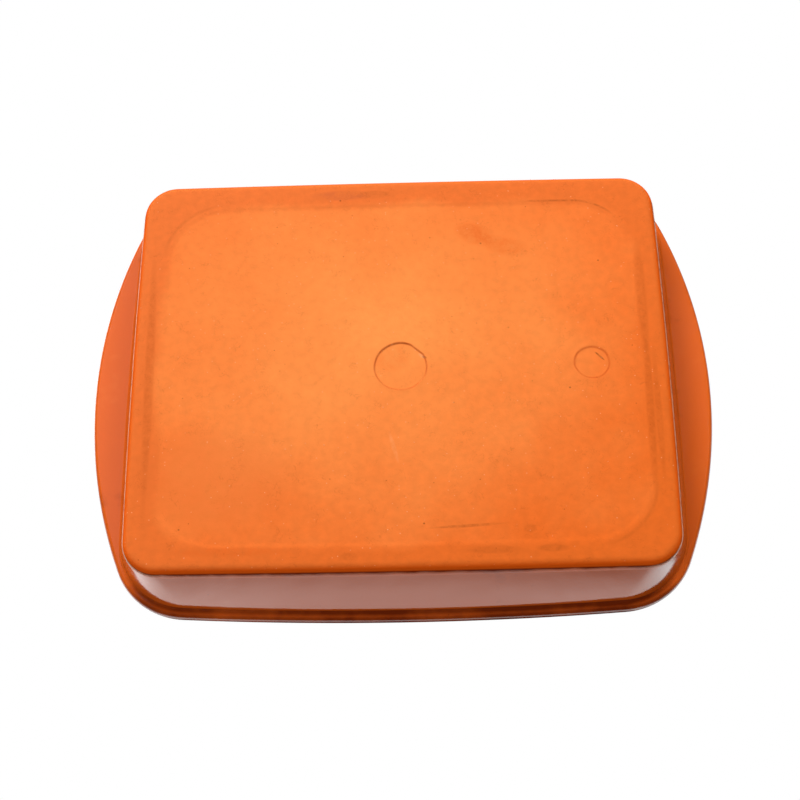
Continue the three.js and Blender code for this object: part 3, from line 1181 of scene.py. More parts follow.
        # Painted highlight: the colour lightens round one place
        light = {"Vector": place, "Location": self.painted_highlight_at, "Scale": self.painted_highlight_reach}
        light = add_node(tree, "ShaderNodeMapping", light, vector_type="TEXTURE")
        light = add_node(tree, "ShaderNodeTexGradient", {"Vector": light}, gradient_type="SPHERICAL")
        painted_highlight_share = add_node(tree, "ShaderNodeMath", {0: cloud, 1: 0.8, 2: -0.4}, operation="MULTIPLY_ADD")
        painted_highlight_share = {0: light.outputs["Fac"], 1: painted_highlight_share}
        painted_highlight_share = add_node(tree, "ShaderNodeMath", painted_highlight_share, operation="ADD", use_clamp=True)
        waver = {0: cloud, 1: self.border_waver, 2: inside}
        waver = add_node(tree, "ShaderNodeMath", waver, operation="MULTIPLY_ADD")
        on_panel = {"Value": waver, "From Min": self.border_reach[0], "From Max": self.border_reach[1]}
        on_panel = add_node(tree, "ShaderNodeMapRange", on_panel, interpolation_type="SMOOTHSTEP")
        layers = ((across, linear(self.painted_shade_edge)), (painted_highlight_share, linear(self.middle)))
        panel = lay_colours(tree, linear(self.edge), layers)
        border = lay_colours(tree, linear(self.border), [(across, linear(self.painted_shade_border))])
        colour = lay_colours(tree, border, [(on_panel, panel)])
        value = {"Value": mottle, "To Min": 1 - self.mottle_swing, "To Max": 1 + self.mottle_swing}
        value = add_node(tree, "ShaderNodeMapRange", value)
        return add_node(tree, "ShaderNodeHueSaturation", {"Color": colour, "Value": value}).outputs[0]

    def _creases(self, tree: Tree, place: Socket) -> Socket:
        """Draws short crooked creases, close together in some places and missing in others.

        Args:
            tree: The material's tree.
            place: Object coordinates.

        Returns:
            How much of a crease lies at each place, which sets its bump and its painted shade.
        """
        crooked = {"Vector": place, "Scale": per_metre(self.crease), "Detail": 4.0, "Distortion": 1.0}
        crooked = add_node(tree, "ShaderNodeTexNoise", crooked).outputs["Fac"]
        off = add_node(tree, "ShaderNodeMath", {0: crooked, 1: 0.5}, operation="SUBTRACT")
        off = add_node(tree, "ShaderNodeMath", {0: off}, operation="ABSOLUTE")
        line = {"Value": off, "From Max": 0.02, "To Min": self.crease_strength, "To Max": 0.0}
        line = add_node(tree, "ShaderNodeMapRange", line, interpolation_type="SMOOTHSTEP")
        patch = {"Vector": place, "Scale": per_metre(self.crease_patch), "Detail": 4.0}
        patch = add_node(tree, "ShaderNodeTexNoise", patch).outputs["Fac"]
        patch = add_node(tree, "ShaderNodeMapRange", {"Value": patch, "From Min": 0.5, "From Max": 0.62})
        return add_node(tree, "ShaderNodeMath", {0: line, 1: patch}, operation="MULTIPLY").outputs[0]

    def _grooves(self, tree: Tree, breaks: Socket) -> Socket:
        """Darkens the edges of the press marks with settled dirt and with painted shade of their steep
        walls.

        Args:
            tree: The material's tree.
            breaks: Noise that makes the line uneven.

        Returns:
            How much dirt and painted shade lies at each place.
        """
        near = add_node(tree, "ShaderNodeAttribute", attribute_name="mark_edge").outputs["Fac"]
        half = self.groove_width / 2
        line = {"Value": near, "From Max": half, "To Min": self.groove_strength, "To Max": 0.0}
        line = add_node(tree, "ShaderNodeMapRange", line, interpolation_type="SMOOTHSTEP")
        uneven = add_node(tree, "ShaderNodeMapRange", {"Value": breaks, "To Min": 0.45})
        return add_node(tree, "ShaderNodeMath", {0: line, 1: uneven}, operation="MULTIPLY").outputs[0]

    def _relief(self, tree: Tree, place: Socket, creases: Socket) -> Socket:
        """Bumps the surface with a crumpled press texture, fine grit and the creases.

        Args:
            tree: The material's tree.
            place: Object coordinates.
            creases: How much of a crease lies at each place.

        Returns:
            The bumped normal.
        """
        crumple = {"Vector": place, "Scale": per_metre(self.crumple), "Detail": 3.0, "Distortion": 0.6}
        crumple = add_node(tree, "ShaderNodeTexNoise", crumple).outputs["Fac"]
        grit = {"Vector": place, "Scale": per_metre(self.grit), "Detail": 2.0}
        grit = add_node(tree, "ShaderNodeTexNoise", grit).outputs["Fac"]
        layers = ((crumple, self.crumple_depth), (grit, self.grit_depth), (creases, -self.crease_depth))
        return bumped(tree, layers)


@dataclass(frozen=True)
class HoneyGlaze:
    """Clear honey-brown glaze on red earthenware, dipped or poured on and fired glossy.

    The clay glows through it: orange-brown where the coat is thin, on edges, and deep brown where it
    pools and where shade is painted in. The coat runs a little uneven, so that reflections on it waver,
    and iron specks show in it.
    """

    name: str
    thin: str = "#ee7a30"
    full: str = "#e4651d"
    # The deep colour is both pooled glaze and painted shade
    deep: str = "#8a3008"
    # Where the coat ends it is thin, milky and rough, and towards the ends of the dish its pale colour is
    # partly a painted highlight
    lip: str = "#f4b592"
    lip_roughness: float = 0.6
    iron: Speck = Speck("#4a1c0a", 9 * MM, 0.55 * MM, 0.75, 0.6)
    cloud: float = 38 * MM
    mottle: float = 6 * MM
    mottle_share: float = 0.3
    # How much a full pool, and the painted shade stored with it, adds to the coat's thickness, and at which
    # thickness the colours change
    pool_and_shade_weight: float = 0.45
    thin_at: tuple[float, float] = (0.55, 0.1)
    deep_at: tuple[float, float] = (0.82, 1.34)
    gloss: tuple[float, float] = (0.06, 0.16)
    waver: float = 22 * MM
    waver_depth: float = 0.25 * MM
    peel: float = 2 * MM
    peel_depth: float = 0.02 * MM
    crumb: float = 3 * MM
    # The pale lower edge shows towards the ends of the dish, where it is partly a painted highlight
    painted_highlight_ends: tuple[float, float] = (128 * MM, 152 * MM)

    def material(self) -> bpy.types.Material:
        """Builds the material."""
        made = empty_material(self.name)
        tree = made.node_tree
        place = add_node(tree, "ShaderNodeTexCoord").outputs["Object"]
        ragged = add_node(tree, "ShaderNodeAttribute", attribute_name="ragged").outputs["Fac"]
        mottle = {"Vector": place, "Scale": per_metre(self.mottle), "Detail": 4.0}
        mottle = add_node(tree, "ShaderNodeTexNoise", mottle).outputs["Fac"]
        thick = self._thickness(tree, place, mottle)
        layers = []
        for (start, end), tint in ((self.thin_at, self.thin), (self.deep_at, self.deep)):
            share = {"Value": thick, "From Min": start, "From Max": end}
            layers.append((add_node(tree, "ShaderNodeMapRange", share), linear(tint)))
        layers.append((self.iron.share(tree, place), linear(self.iron.colour)))
        layers.append((self._pale_edge(tree, place, ragged), linear(self.lip)))
        rough = {"Value": mottle, "To Min": self.gloss[0], "To Max": self.gloss[1]}
        rough = {0: ragged, 1: self.lip_roughness, 2: add_node(tree, "ShaderNodeMapRange", rough)}
        shader = {
            "Base Color": lay_colours(tree, linear(self.full), layers),
            "Roughness": add_node(tree, "ShaderNodeMath", rough, operation="MULTIPLY_ADD"),
            "IOR": 1.7,
            "Normal": self._relief(tree, place),
        }
        shader = add_node(tree, "ShaderNodeBsdfPrincipled", shader)
        add_node(tree, "ShaderNodeOutputMaterial", {"Surface": shader})
        return made

    def _thickness(self, tree: Tree, place: Socket, mottle: Socket) -> TreeNode:
        """Works out how thick the coat lies, from its pools with their painted shade and two sizes of
        unevenness.

        Args:
            tree: The material's tree.
            place: Object coordinates.
            mottle: Noise of the smaller size.

        Returns:
            The thickness, about 0.65 on the plain wall.
        """
        pool = add_node(tree, "ShaderNodeAttribute", attribute_name="pool").outputs["Fac"]
        cloud = {"Vector": place, "Scale": per_metre(self.cloud), "Detail": 3.0}
        cloud = add_node(tree, "ShaderNodeTexNoise", cloud).outputs["Fac"]
        uneven = {0: mottle, 1: self.mottle_share, 2: cloud}
        uneven = add_node(tree, "ShaderNodeMath", uneven, operation="MULTIPLY_ADD")
        thick = {0: pool, 1: self.pool_and_shade_weight, 2: uneven}
        return add_node(tree, "ShaderNodeMath", thick, operation="MULTIPLY_ADD")

    def _pale_edge(self, tree: Tree, place: Socket, ragged: Socket) -> TreeNode:
        """Finds the crumbling lower edge of the coat, which towards the ends is partly a painted highlight.

        Args:
            tree: The material's tree.
            place: Object coordinates.
            ragged: 1 at the edge, falling to 0 where the coat is full.

        Returns:
            The pale edge's share of the colour.
        """
        crumbs = {"Vector": place, "Scale": per_metre(self.crumb), "Detail": 3.0}
        crumbs = add_node(tree, "ShaderNodeTexNoise", crumbs).outputs["Fac"]
        crumbs = add_node(tree, "ShaderNodeMath", {0: crumbs, 1: 1.6, 2: ragged}, operation="MULTIPLY_ADD")
        edge = add_node(tree, "ShaderNodeMapRange", {"Value": crumbs, "From Min": 1.3, "From Max": 1.65})
        along = add_node(tree, "ShaderNodeSeparateXYZ", {0: place}).outputs["X"]
        along = add_node(tree, "ShaderNodeMath", {0: along}, operation="ABSOLUTE")
        painted_highlight_ends = {"Value": along, "From Min": self.painted_highlight_ends[0], "From Max": self.painted_highlight_ends[1], "To Min": 0.08}
        painted_highlight_ends = add_node(tree, "ShaderNodeMapRange", painted_highlight_ends)
        return add_node(tree, "ShaderNodeMath", {0: edge, 1: painted_highlight_ends}, operation="MULTIPLY")

    def _relief(self, tree: Tree, place: Socket) -> Socket:
        """Bumps the coat with slow waves and a fine orange peel."""
        layers = []
        for size, depth in ((self.waver, self.waver_depth), (self.peel, self.peel_depth)):
            waves = {"Vector": place, "Scale": per_metre(size), "Detail": 1.0}
            layers.append((add_node(tree, "ShaderNodeTexNoise", waves).outputs["Fac"], depth))
        return bumped(tree, layers)


@dataclass
class ClayBody:
    """The pressed tray of red clay, bare underneath and coated elsewhere."""

    form: DishForm
    panel_margin: float = 15.5 * MM
    panel_corner: float = 36 * MM
    panel_depth: float = 0.5 * MM
    panel_slope: float = 3.2 * MM
    # How far the press plate sat off the middle of the dish
    press_x: float = 0.7 * MM
    press_y: float = 2.0 * MM
    foot_steps: int = 8
    mark_steps: int = 96
    spacing: float = 2.4 * MM
    unevenness: float = 0.1 * MM
    # The panel's unevenness: waves per metre, their share of its height and the layer of noise used
    waves: tuple[tuple[float, float, float], ...] = ((40, 1.0, 0.5), (110, 0.4, 3.5))
    wave_fade: float = 8 * MM
    # Shares of the panel's slope at which the mesh has a ring, and how far loose points keep off them
    slope_rings: tuple[float, ...] = (-0.1875, 0, 0.25, 0.5, 0.75, 1, 1.25)
    slope_clearance: float = 0.9 * MM
    foot_clearance: float = 2 * MM
    mark_clearance: float = 1 * MM
    grains_per_square_metre: float = 15000
    grain_radius: float = 0.36 * MM
    # Shares of the foot's round between which grains lie on it, and the panel's share of grains
    grain_belt: tuple[float, float] = (0.1, 0.6)
    panel_grains: float = 0.16
    marks: tuple[PressMark, ...] = (
        PressMark(0.0, 31 * MM, 0.5 * MM, 0.8 * MM, 0.2 * MM, math.radians(-48), 0.8 * MM),
        PressMark(110.5 * MM, 22 * MM, 0.35 * MM, 2 * MM, 0.14 * MM, math.radians(150), 0.2 * MM),
    )
    smudges: tuple[Smudge, ...] = (
        Smudge(Stain.RUST, 46, -86, 30, 17, 25, 0.45),
        Smudge(Stain.RUST, 64, -77, 34, 16, 15, 0.35),
        Smudge(Stain.SCORCH, -145, 8, 200, 7, 89, 0.26),
        Smudge(Stain.SCORCH, 142.6, -42, 90, 8, 90, 0.26),
        Smudge(Stain.SCORCH, 142.5, 30, 130, 6, 91, 0.28),
        Smudge(Stain.SCORCH, 147, 36, 100, 5, 90, 0.24),
        Smudge(Stain.SOOT, 135, 98, 70, 60, 0, 0.18, -2.5, 4),
        Smudge(Stain.LILAC, -35, -115, 44, 9, 0, 0.35),
        Smudge(Stain.SOOT, -14, -115.5, 28, 7, 0, 0.18),
        Smudge(Stain.SOOT, 104, -106, 70, 40, 0, 0.4, 0.0, 2.4),
        Smudge(Stain.SOOT, -130, -98, 60, 60, 0, 0.16, -2, 4),
        Smudge(Stain.SOOT, -29, 117.8, 13, 6, 0, 0.2),
        Smudge(Stain.SOOT, 51, 115.4, 40, 6, 0, 0.2),
        Smudge(Stain.SOOT, 83, 115, 22, 5.5, 0, 0.25),
        Smudge(Stain.RUST, -95, 114, 80, 7, 0, 0.25),
        Smudge(Stain.SOOT, 37, 101, 52, 2.4, -2.8, 0.3),
        Smudge(Stain.SOOT, 71, 103.3, 9, 7, 0, 0.2),
        Smudge(Stain.PALE, -3.6, 53, 24, 3, 75, 0.2),
        Smudge(Stain.RUST, -4, -5, 32, 24, -40, 0.24),
        Smudge(Stain.LILAC, -105, 70, 110, 80, 0, 0.1),
        Smudge(Stain.SOOT, 115.9, -2, 9, 1.5, 47, 0.9),
        Smudge(Stain.SOOT, 14.6, -3.6, 4, 1.8, 30, 0.6),
        Smudge(Stain.PALE, 13, -4.6, 6, 2.4, 40, 0.4),
    )

    @property
    def panel(self) -> Outline:
        """Outline of the sunk panel."""
        base = self.form.base
        return Outline.bowed(
            base.half_length - self.panel_margin,
            base.half_width - self.panel_margin,
            self.panel_corner,
            self.form.base_end_bow,
            self.form.base_side_bow,
        )

    def _depth_inside(self, x: np.ndarray, y: np.ndarray) -> np.ndarray:
        """Measures how far points lie inside the panel's outline, negative outside it."""
        return self.panel.depth_inside(x - self.press_x, y - self.press_y)

    def _into_mark(self, mark: PressMark, x: np.ndarray, y: np.ndarray) -> np.ndarray:
        """Measures how far points lie inside a mark's edge, negative outside it."""
        return mark.inside(x - self.press_x - mark.x, y - self.press_y)

    def height_at(self, x: np.ndarray, y: np.ndarray) -> np.ndarray:
        """Gives the height of the underside above the plane that the dish stands on.

        Args:
            x: Places along the length.
            y: Places across the width.

        Returns:
            Heights.
        """
        inside = self._depth_inside(x, y)
        height = self.panel_depth * smooth_step(inside, 0, self.panel_slope)
        for mark in self.marks:
            height += mark.height(x - self.press_x - mark.x, y - self.press_y)
        uneven = np.zeros(len(x))
        for pitch, share, layer in self.waves:
            places = [Vector((px * pitch, py * pitch, layer)) for px, py in zip(x, y)]
            uneven += share * np.array([noise.noise(place) for place in places])
        return height + self.unevenness * uneven * smooth_step(inside, 0, self.wave_fade)

    @property
    def _slope(self) -> np.ndarray:
        """How far inside the panel's outline the rings of its slope lie."""
        return np.array(self.slope_rings) * self.panel_slope

    def _loops(self) -> list[np.ndarray]:
        """Draws the closed lines of the underside: its edge, the panel's slope and the press marks."""
        first = self.form.foot(1)[0]
        shift = np.array((self.press_x, self.press_y))
        loops = [self.form.ring(self.form.base, first.offset)[0]]
        for inset in self._slope:
            loops.append(self.form.ring(self.panel, -inset)[0] + shift)
        angle = np.linspace(0, 2 * math.pi, self.mark_steps, endpoint=False)
        for mark in self.marks:
            for inset in mark.insets():
                radius = mark.edge(angle) - inset
                loop = np.stack([mark.x + radius * np.cos(angle), radius * np.sin(angle)], axis=1)
                loops.append(loop + shift)
        return loops

    def _loose_points(self) -> np.ndarray:
        """Spreads points over the rest of the underside, clear of the drawn lines."""
        base = self.form.base
        xs, ys = np.meshgrid(
            np.arange(-base.half_length, base.half_length, self.spacing),
            np.arange(-base.half_width, base.half_width, self.spacing),
        )
        xs[1::2] += self.spacing / 2
        free = np.stack([xs.ravel(), ys.ravel()], axis=1)
        keep = base.depth_inside(*free.T) > self.form.foot_round + self.foot_clearance
        lines = [(self._depth_inside(*free.T), self._slope, self.slope_clearance)]
        for mark in self.marks:
            lines.append((self._into_mark(mark, *free.T), mark.insets(), self.mark_clearance))
        for into, rings, clearance in lines:
            keep &= (into < rings[0] - clearance) | (into > rings[-1] + clearance)
        return free[keep]

    def _underside(self) -> bpy.types.Object:
        """Makes the underside inside the foot: border, sunk panel and press marks."""
        loops = self._loops()
        edges = []
        start = 0
        for loop in loops:
            edges += [(start + i, start + (i + 1) % len(loop)) for i in range(len(loop))]
            start += len(loop)
        flat = np.concatenate([*loops, self._loose_points()])
        corners, _, faces, _, _, _ = delaunay_2d_cdt([Vector(p) for p in flat], edges, [], 0, 1e-7)
        flat = np.array([tuple(corner) for corner in corners])
        points = np.column_stack([flat, self.height_at(*flat.T)])
        made = plain_mesh("underside", points, [tuple(reversed(face)) for face in faces])
        made.data.shade_smooth()
        return made

    def build(self, sweep: Sweep, grains: Grains, clay: FiredClay) -> bpy.types.Object:
        """Makes the clay body: the underside joined to the swept foot, wall, rim and inside.

        Args:
            sweep: The sweep that the coats use too.
            grains: The grains that lie bare in the underside.
            clay: The finish.

        Returns:
            The finished piece.
        """
        form = self.form
        material = clay.material(self.smudges)
        stations = form.foot(self.foot_steps) + form.up_the_wall(form.glaze)
        stations += form.flange(form.glaze, HIDDEN_STEPS)
        stations += across_floor(form.inside(form.glaze, HIDDEN_STEPS), HIDDEN_STEPS)
        made = sweep.make(Node.CLAY.value, stations, material)
        self._join(made, self._underside())
        coat(made, material)
        x, y, z = corner_points(made.data).T
        depth = self._depth_inside(x, y)
        set_attribute(made.data, "panel_depth", depth)
        set_attribute(made.data, "soak", np.where(depth < 0, z / form.glaze_line, 0))
        off_edge = [np.abs(self._into_mark(mark, x, y) - mark.slope / 2) for mark in self.marks]
        set_attribute(made.data, "mark_edge", np.min(off_edge, axis=0))
        # Grains lie bare on the round of the foot and, fewer, on the panel
        low, high = (share * form.foot_round for share in self.grain_belt)
        on_foot = (z > low) & (z < high)
        on_panel = (depth > self.panel_slope) & (z < form.wall_start)
        zone = np.where(on_foot & (depth < 0), 1.0, self.panel_grains * on_panel)
        grains.scatter(made, zone, self.grains_per_square_metre, self.grain_radius)
        hand_over(made, Slot.CLAY, Node.CLAY)
        return made

    def _join(self, made: bpy.types.Object, under: bpy.types.Object) -> None:
        """Joins the underside to the swept body and merges the seam.

        Args:
            made: The swept body, which takes everything in.
            under: The underside, which is used up.
        """
        body = bmesh.new()
        body.from_mesh(made.data)
        body.from_mesh(under.data)
        bmesh.ops.remove_doubles(body, verts=body.verts, dist=SEAM)
        LOG.info("open edges of the clay body: %d", sum(edge.is_boundary for edge in body.edges))
        body.to_mesh(made.data)
        body.free()
        bpy.data.objects.remove(under)


@dataclass
class OuterGlaze:
    """The coat on the outer wall, under and round the rim and lugs and over the rim's top."""

    form: DishForm
    # Painted shade: the cove's pool and the rim's outer edge are darkened as thicker glaze, most of all
    # along the long sides
    cove_pool_and_shade: float = 1.35
    edge_painted_shade: float = 1.2
    pool_and_shade_reach: float = 4.5 * MM
    # Where the painted shade along the rim's edge begins to fade out, and how thick the coat's lower edge
    # lies
    edge_start: float = 1 * MM
    lip_pool: float = 1.4
    roll_steps: int = 7
    steps: int = 9
    # Share of the cove's pool and of the painted shade that is left on the lugs; the long sides keep all of
    # it
    pool_and_shade_on_lugs: float = 0.2
    # Shares of the half width between which the lugs run into the long sides
    lug_ends: tuple[float, float] = (0.8, 0.94)

    def build(self, sweep: Sweep, glaze: HoneyGlaze) -> bpy.types.Object:
        """Makes the coat as one closed shell.

        Args:
            sweep: The sweep that lays a section round the dish.
            glaze: The finish.

        Returns:
            The finished piece.
        """
        form = self.form
        start = form.wall_station(form.glaze_line, form.glaze, self.lip_pool, 1.0)
        # The coat's lower edge is rolled and swells to its full thickness over the feather
        roll = []
        for share in np.linspace(0.12, 1, self.roll_steps):
            height = form.glaze_line + form.glaze_feather * share
            depth = form.glaze * (1 - math.sqrt(1 - (1 - share) ** 2))
            roll.append(form.wall_station(height, depth, self.lip_pool * (1 - share), 1 - share))
        over = [start, *roll]
        under = [start]
        for side, depth, steps in ((over, 0, self.steps), (under, form.glaze, HIDDEN_STEPS)):
            side += form.up_the_wall(depth) + form.flange(depth, steps) + form.inside(depth, steps)[:1]
        made = sweep.make(Node.OUTER.value, over + under[::-1], glaze.material())
        self._pool_and_paint_shade(made.data)
        hand_over(made, Slot.OUTER, Node.OUTER)
        return made

    def _pool_and_paint_shade(self, mesh: bpy.types.Mesh) -> None:
        """Lets the glaze lie thicker in the cove under the rim, and paints shade as extra thickness in the
        cove and along the rim's edge, most of it beside the long sides.

        Args:
            mesh: The coat, which has the thickness of the rest stored.
        """
        form = self.form
        x, y, z = corner_points(mesh).T
        pool = np.empty(len(mesh.vertices))
        mesh.attributes["pool"].data.foreach_get("value", pool)
        out = -form.mouth.depth_inside(x, y)
        back = form.rim.depth_inside(x, y)
        cove_pool_and_painted_shade = self.cove_pool_and_shade * (1 - smooth_step(out, form.cove_reach, self.pool_and_shade_reach))
        cove_pool_and_painted_shade *= z < form.height - form.rim_thickness / 2
        # Painted shade along the rim's outer edge
        edge_painted_shade_share = self.edge_painted_shade * (1 - smooth_step(back, self.edge_start, self.pool_and_shade_reach))
        on_flange = z > form.wall_end + 0.02 * form.cove_rise
        beside = smooth_step(np.abs(y), *(share * form.rim_half_width for share in self.lug_ends))
        kept = self.pool_and_shade_on_lugs + (1 - self.pool_and_shade_on_lugs) * beside
        set_attribute(mesh, "pool", np.where(on_flange, kept * np.maximum(cove_pool_and_painted_shade, edge_painted_shade_share), pool))


@dataclass
class InnerGlaze:
    """The lining of the inside, from the rim's inner edge down over the floor."""

    form: DishForm
    steps: int = 12

    def build(self, sweep: Sweep, glaze: HoneyGlaze) -> bpy.types.Object:
        """Makes the lining as one closed shell.

        Args:
            sweep: The sweep that lays a section round the dish.
            glaze: The finish.

        Returns:
            The finished piece.
        """
        form = self.form
        over = across_floor(form.inside(0, self.steps), self.steps)
        under = across_floor(form.inside(form.glaze, HIDDEN_STEPS), HIDDEN_STEPS)
        made = sweep.make(Node.INNER.value, under[::-1] + over, glaze.material())
        hand_over(made, Slot.INNER, Node.INNER)
        return made


class LampKind(Enum):
    """What a lamp is for."""

    MATT = "lights without showing in reflections"
    SHEEN = "shows in reflections only"


@dataclass(frozen=True)
class Lamp:
    """A square soft lamp."""

    name: str
    place: tuple[float, float, float]
    size: float
    watts: float
    kind: LampKind


class Bearing(Enum):
    """What a direction round the dish is measured by, each from -1 to 1."""

    ALONG = "along the length"
    ACROSS = "across the width"
    RISE = "upwards"
    ASIDE = "along the length, on both sides alike"
    CORNER = "aside and a little across, towards what the front corners mirror"


@dataclass(frozen=True)
class Glow:
    """A soft bright patch of the surroundings that shows in the glaze only.

    Each of its ramps names a bearing, where on it the patch begins and where it is full.
    """

    strength: float
    ramps: tuple[tuple[Bearing, float, float], ...]


@dataclass(frozen=True)
class Studio:
    """The pale floor, soft light and camera."""

    # Viewing angles of the photograph, with the dish lying upside down in front of the camera
    elevation: float = 1.12759
    yaw: float = -0.053746
    roll: float = -0.069807
    distance: float = 912.72 * MM
    aim: tuple[float, float] = (-1.083 * MM, -13.399 * MM)
    lens: float = 69.88
    sensor: float = 36.0
    paper: str = "#f4f2ef"
    # The paper's share of light of its own, which keeps shadows on it soft
    paper_glow: float = 0.45
    paper_light: float = 0.95
    floor_drop: float = 0.4 * MM
    floor_size: float = 6.0
    fade_start: float = 0.45
    fade_end: float = 1.1
    ambient: float = 0.25
    # The fill light comes more from one side
    fill_from: tuple[float, float, float] = (-0.7, -0.35, -0.62)
    fill_swing: float = 0.17
    corner_tilt: float = 0.25
    # Nothing bright lies straight behind the dish
    glows: tuple[Glow, ...] = (
        # A band round the horizon
        Glow(0.4, ((Bearing.RISE, 0.05, 0.2), (Bearing.RISE, 0.9, 0.5))),
        # The pale table before the front wall
        Glow(
            1.28,
            (
                (Bearing.RISE, 0.18, 0.3),
                (Bearing.RISE, 0.76, 0.48),
                (Bearing.ACROSS, 0.45, 0.7),
                (Bearing.ASIDE, 0.64, 0.36),
            ),
        ),
        # The table before the corners
        Glow(
            1.6,
            (
                (Bearing.RISE, 0.42, 0.64),
                (Bearing.CORNER, 0.24, 0.48),
                (Bearing.ACROSS, -0.45, -0.15),
            ),
        ),
        # The bright line along the left end
        Glow(2.2, ((Bearing.RISE, 0.1, 0.4), (Bearing.ALONG, -0.18, -0.26), (Bearing.ACROSS, -0.26, -0.4))),
        # The fainter line along the right end
        Glow(0.7, ((Bearing.RISE, 0.5, 0.7), (Bearing.ALONG, 0.18, 0.26), (Bearing.ACROSS, -0.3, -0.42))),
    )
    lamps: tuple[Lamp, ...] = (
        Lamp("back_left_lamp", (-0.5, -1.2, -1.2), 0.6, 20.8, LampKind.MATT),
        Lamp("back_right_lamp", (0.75, -0.85, -1.4), 0.7, 13.4, LampKind.MATT),
        Lamp("front_fill", (-0.8, 0.8, -1.3), 0.8, 4.6, LampKind.MATT),
        Lamp("top_lamp", (-0.75, 0.0, 1.25), 0.8, 15, LampKind.MATT),
        Lamp("top_sheen", (0.35, -1.25, 0.75), 0.8, 8, LampKind.SHEEN),
        Lamp("left_lug_sheen", (-0.5, -0.7, -1.3), 0.6, 0.55, LampKind.SHEEN),
        Lamp("right_lug_sheen", (0.4, -0.7, -1.3), 0.6, 0.03, LampKind.SHEEN),
    )

    def build(self, height: float) -> None:
        """Sets up camera, floor, world and lamps.

        Args:
            height: The dish's height, round whose middle everything is placed.
        """
        bpy.context.scene.view_settings.view_transform = "Standard"
        self._camera(height)
        self._floor()
        self._world()
        for lamp in self.lamps:
            self._lamp(lamp, height)

    def _camera(self, height: float) -> None:
        """Puts the camera where the photograph was taken from, seen from the turned dish."""
        camera = bpy.data.cameras.new("camera")
        camera.lens = self.lens
        camera.sensor_width = self.sensor
        camera.clip_start = 10 * MM
        made = bpy.data.objects.new("camera", camera)
        bpy.context.scene.collection.objects.link(made)
        turn_over = Matrix.Translation((0, 0, height)) @ Matrix.Rotation(math.pi, 4, "X")
        aim = Matrix.Translation((*self.aim, height / 2))
        look = Matrix.Rotation(RIGHT_ANGLE - self.elevation, 4, "X") @ Matrix.Rotation(self.roll, 4, "Z")
        back = Matrix.Translation((0, 0, self.distance))
        made.matrix_world = turn_over @ Matrix.Rotation(-self.yaw, 4, "Z") @ aim @ look @ back
        bpy.context.scene.camera = made

    def _floor(self) -> None:
        """Lays the floor, matt white paper that shows from above only and fades into the white around it."""
        half = self.floor_size / 2
        corners = np.array([(-half, -half, 0), (half, -half, 0), (half, half, 0), (-half, half, 0)])
        floor = plain_mesh("floor", corners - (0, 0, self.floor_drop), [(0, 1, 2, 3)])
        paper = empty_material("white_studio_paper")
        tree = paper.node_tree
        seen = add_node(tree, "ShaderNodeLightPath").outputs["Is Camera Ray"]
        back = add_node(tree, "ShaderNodeNewGeometry").outputs["Backfacing"]
        place = add_node(tree, "ShaderNodeTexCoord").outputs["Object"]
        far = add_node(tree, "ShaderNodeVectorMath", {0: place}, operation="LENGTH").outputs["Value"]
        near = {"Value": far, "From Min": self.fade_end, "From Max": self.fade_start}
        near = add_node(tree, "ShaderNodeMapRange", near, interpolation_type="SMOOTHSTEP")
        front = add_node(tree, "ShaderNodeMath", {0: seen, 1: back}, operation="SUBTRACT", use_clamp=True)
        share = add_node(tree, "ShaderNodeMath", {0: front, 1: near}, operation="MULTIPLY")
        matt = add_node(tree, "ShaderNodeBsdfDiffuse", {"Color": linear(self.paper)})
        glow = {"Color": linear(self.paper), "Strength": self.paper_light}
        glow = add_node(tree, "ShaderNodeEmission", glow)
        matt = add_node(tree, "ShaderNodeMixShader", {0: self.paper_glow, 1: matt, 2: glow})
        clear = add_node(tree, "ShaderNodeBsdfTransparent")
        shader = add_node(tree, "ShaderNodeMixShader", {0: share, 1: clear, 2: matt})
        add_node(tree, "ShaderNodeOutputMaterial", {"Surface": shader})
        floor.data.materials.append(paper)

    def _world(self) -> None:
        """Makes the surroundings white to the eye, a soft fill light and, in the glaze, the glows."""
        world = bpy.data.worlds.new("studio")
        bpy.context.scene.world = world
        world.use_nodes = True
        tree = world.node_tree
        tree.nodes.clear()
        path = add_node(tree, "ShaderNodeLightPath").outputs
        way = add_node(tree, "ShaderNodeTexCoord").outputs["Generated"]
        mirrored = self._mirrored(tree, way)
        side = {0: way, 1: self.fill_from}
        side = add_node(tree, "ShaderNodeVectorMath", side, operation="DOT_PRODUCT").outputs["Value"]
        fill = {0: side, 1: self.fill_swing, 2: self.ambient}
        fill = add_node(tree, "ShaderNodeMath", fill, operation="MULTIPLY_ADD")
        glossy = {0: path["Is Glossy Ray"], 2: fill, 3: mirrored}
        strength = add_node(tree, "ShaderNodeMix", glossy, data_type="FLOAT")
        seen = {0: path["Is Camera Ray"], 2: strength, 3: 1.0}
        strength = add_node(tree, "ShaderNodeMix", seen, data_type="FLOAT")
        light = add_node(tree, "ShaderNodeBackground", {"Color": linear("#ffffff"), "Strength": strength})
        add_node(tree, "ShaderNodeOutputWorld", {"Surface": light})

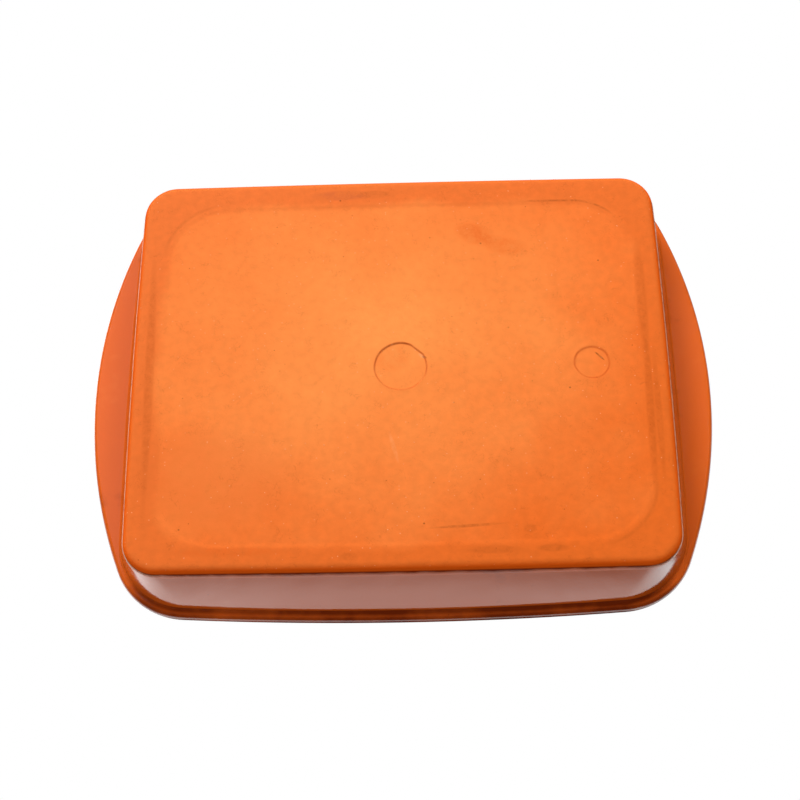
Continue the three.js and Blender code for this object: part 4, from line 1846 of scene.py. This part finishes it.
    def _mirrored(self, tree: Tree, way: Socket) -> TreeNode:
        """Adds up the glows that the glaze mirrors.

        Args:
            tree: The world's tree.
            way: The direction that is looked at.

        Returns:
            The strength of the light from there.
        """
        x, y, z = add_node(tree, "ShaderNodeSeparateXYZ", {0: way}).outputs
        aside = add_node(tree, "ShaderNodeMath", {0: x}, operation="ABSOLUTE")
        corner = {0: y, 1: self.corner_tilt, 2: aside}
        corner = add_node(tree, "ShaderNodeMath", corner, operation="MULTIPLY_ADD")
        measured = {
            Bearing.ALONG: x,
            Bearing.ACROSS: y,
            Bearing.RISE: z,
            Bearing.ASIDE: aside,
            Bearing.CORNER: corner,
        }
        total = 0.0
        for glow in self.glows:
            level = glow.strength
            for bearing, start, end in glow.ramps:
                ramp = {"Value": measured[bearing], "From Min": start, "From Max": end}
                ramp = add_node(tree, "ShaderNodeMapRange", ramp, interpolation_type="SMOOTHSTEP")
                level = add_node(tree, "ShaderNodeMath", {0: level, 1: ramp}, operation="MULTIPLY")
            total = add_node(tree, "ShaderNodeMath", {0: total, 1: level}, operation="ADD")
        return total

    def _lamp(self, lamp: Lamp, height: float) -> None:
        """Hangs one lamp, turned towards the middle of the dish.

        Args:
            lamp: The lamp.
            height: The dish's height.
        """
        light = bpy.data.lights.new(lamp.name, "AREA")
        light.size = lamp.size
        light.energy = lamp.watts
        made = bpy.data.objects.new(lamp.name, light)
        bpy.context.scene.collection.objects.link(made)
        place = Vector(lamp.place)
        made.location = place
        made.rotation_euler = (Vector((0, 0, height / 2)) - place).to_track_quat("-Z", "Y").to_euler()
        made.visible_camera = False
        made.visible_diffuse = lamp.kind is LampKind.MATT
        made.visible_glossy = lamp.kind is LampKind.SHEEN


def main() -> None:
    """Builds the studio and the dish, piece by piece."""
    logging.basicConfig(level=logging.INFO, format="%(name)s: %(message)s")
    form = DishForm.from_frame()
    Studio().build(form.height)
    sweep = Sweep(form)
    ClayBody(form).build(sweep, Grains(), FiredClay())
    OuterGlaze(form).build(sweep, HoneyGlaze("honey_glaze_dipped_on_earthenware"))
    InnerGlaze(form).build(sweep, HoneyGlaze("honey_glaze_poured_in_earthenware"))


if __name__ == "__main__":
    main()
